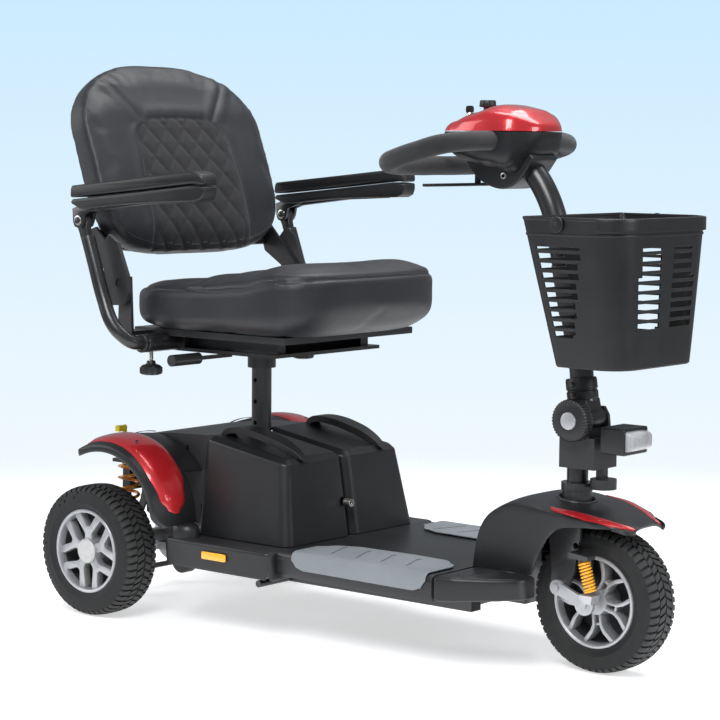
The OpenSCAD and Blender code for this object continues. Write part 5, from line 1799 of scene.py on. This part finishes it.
def makeBasket():
    f = basketFacts
    around = len(basketRing(0.6))
    rows = f["rows"]
    deselectAll()
    bpy.ops.mesh.primitive_grid_add(x_subdivisions=around, y_subdivisions=rows, size=1)
    wall = bpy.context.object
    wall.name = "basketWall"
    rings = []
    for j in range(rows + 1):
        z = f["low"] + (f["rim"] - f["low"]) * j / rows
        rings.append([Vector((x, y, z)) for x, y in basketRing(z)])
    for vert in wall.data.vertices:
        i = int(round((vert.co.x + 0.5) * around)) % around
        j = int(round((vert.co.y + 0.5) * rows))
        vert.co = rings[j][i]
    mendNormals(wall, 0.0001)

    def isSlot(face):
        c = face.center
        j = int((c.z - f["low"]) / (f["rim"] - f["low"]) * rows)
        if j % 3 == 2 or not 8 < j < 37:
            return False
        k = (c.z - 0.489) / 0.23
        x1 = 0.551 + 0.010 * k
        r = 0.040 + 0.015 * k
        half = 0.110 + 0.030 * k
        if abs(c.y) > half - 0.003:  # sides
            edge = 0.462 + 0.030 * k
            back = 0.427 - 0.046 * k + 0.014
            return back < c.x < edge and j > 8
        if c.x > x1 - 0.0015:  # front
            return abs(abs(c.y) - 0.044) < 0.030 and j < 37 and j > 11
        if c.x > x1 - r and abs(c.y) > half - r:
            return False
        if c.x < 0.427 - 0.046 * k + 0.004:
            return 0.040 < abs(c.y) < half - 0.018
        return False

    pickFaces(wall, isSlot)
    bpy.ops.mesh.delete(type="FACE")
    leaveEdit()
    out = Vector((0, 0, 0))
    for face in wall.data.polygons:
        out += face.normal * (1 if face.center.x > 0.5 else 0)
    if out.x < 0:
        activate(wall)
        bpy.ops.object.mode_set(mode="EDIT")
        bpy.ops.mesh.select_all(action="SELECT")
        bpy.ops.mesh.flip_normals()
        leaveEdit()
    thick = wall.modifiers.new("wall", "SOLIDIFY")
    thick.thickness = f["wall"]
    thick.offset = -1
    applyModifiers(wall)
    bevelEdges(wall, 0.0005, 1, 50)
    smooth(wall, 35)
    parts = [wall]
    floor = plate("basketFloor", basketRing(0.4895, -0.0006), 0.4890, 0.4932, "z", 0.0012, 2, 50)
    parts.append(floor)
    foot = plate("basketFoot", basketRing(0.4895, -0.012), 0.4872, 0.4895, "z", 0.0005, 1, 50)
    parts.append(foot)
    for z0, z1, grow in ((0.7140, 0.7190, 0.0006), (0.6905, 0.6945, 0.0010)):  # rim and step
        n = around
        band = sheetOf("basketBand", n, 1, lambda u,
            v: Vector((*basketRing(z0 + (z1 - z0) * v, grow)[int(round(u * n)) % n], z0 + (z1 - z0) * v)), 0.0042,
                (0, 0, 0), 0.0008)
        mendNormals(band)
        parts.append(band)
    whole = joined("basket", parts)
    finishPiece(whole, mouldedBlack, "basket", ["basket"])

    ring = basketRing(0.708, 0.0030)
    path = [p for p in ring[:48] if p[0] >= 0.440]
    line = [Vector((x, y, 0)) for x, y in path]
    n = len(line) - 1
    band = sheetOf("handleBand", n, 4, lambda u, v: line[int(round(u * n))] + Vector((0, 0, 0.6975 + 0.0210 * v)),
        0.0034, (1, 0, 0), 0.0010)
    dress(band, mouldedBlack)
    handleParts = [band]
    for s in (-1, 1):
        boss = roundBar("handleBoss", 0.0125, 0.0042, (0.449, s * 0.1415, 0.708), "y", 0.0012, 40)
        bolt = roundBar("handleBolt", 0.0036, 0.0062, (0.449, s * 0.1413, 0.710), "y", 0.0008, 6)
        dress(boss, mouldedBlack)
        dress(bolt, powderCoat)
        handleParts += [boss, bolt]
    finishPiece(joined("basketHandle", handleParts), mouldedBlack, "basket_bail", ["basket_handle"],
        keepMaterials=True)


makeBasket()
print("basket done")

# The plain nodes that stay get their finishes
finishes = {
    "main_frame": powderCoat, "base_tray": charcoalPlastic, "deck_panel": charcoalPlastic,
        "deck_nose": charcoalPlastic,
    "foot_pads": deckGrey, "side_reflectors": amberLens, "rear_cover": charcoalPlastic,
        "rear_fenders": charcoalPlastic,
    "red_panels": candyRed, "front_fender": charcoalPlastic, "controller": castSilver,
        "anti_tip_brackets": powderCoat,
    "charger_port": zincSteel, "battery_shell_right": charcoalPlastic, "battery_shell_left": charcoalPlastic,
    "battery_cells_right": casePlastic, "battery_cells_left": casePlastic, "transaxle": castSilver,
        "drive_motor": powderCoat,
    "rear_springs": springAmber, "anti_tip_rollers": rollerRubber, "freewheel_lever": leverYellow,
        "seat_post": powderCoat,
    "seat_pan": powderCoat, "seat_cushion": seatVinyl, "swivel_lever": mouldedBlack, "back_frame": mouldedBlack,
    "back_cushion": seatVinyl, "back_covers": mouldedBlack, "arm_tube_right": powderCoat, "arm_tube_left": powderCoat,
    "arm_pad_right": mouldedBlack, "arm_pad_left": mouldedBlack, "clamp_knob_right": mouldedBlack,
    "clamp_knob_left": mouldedBlack, "steering_stem": powderCoat, "steering_fork": powderCoat,
        "stem_bracket": mouldedBlack,
    "headlight_housing": mouldedBlack, "headlight_lens": lensClear, "swing_arm": castSilver,
        "front_springs": springYellow,
    "tiller_tube": powderCoat, "head_shell": charcoalPlastic, "head_cover": candyRed, "handlebar": gripFoam,
    "tilt_knob": mouldedBlack, "key": zincSteel, "speed_knob": mouldedBlack, "horn_button": signalRed,
    "throttle_lever": mouldedBlack, "basket": mouldedBlack, "basket_handle": mouldedBlack,
    "rear_tyre_right": tyreRubber, "rear_tyre_left": tyreRubber, "front_tyre": tyreRubber,
        "rear_rim_right": castSilver,
    "rear_rim_left": castSilver, "front_rim": castSilver,
}
for nodeName, made in finishes.items():
    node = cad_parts[nodeName]
    if not node.material_slots:
        node.data.materials.append(made)
    for each in node.material_slots:
        each.material = made
print("plain nodes dressed")
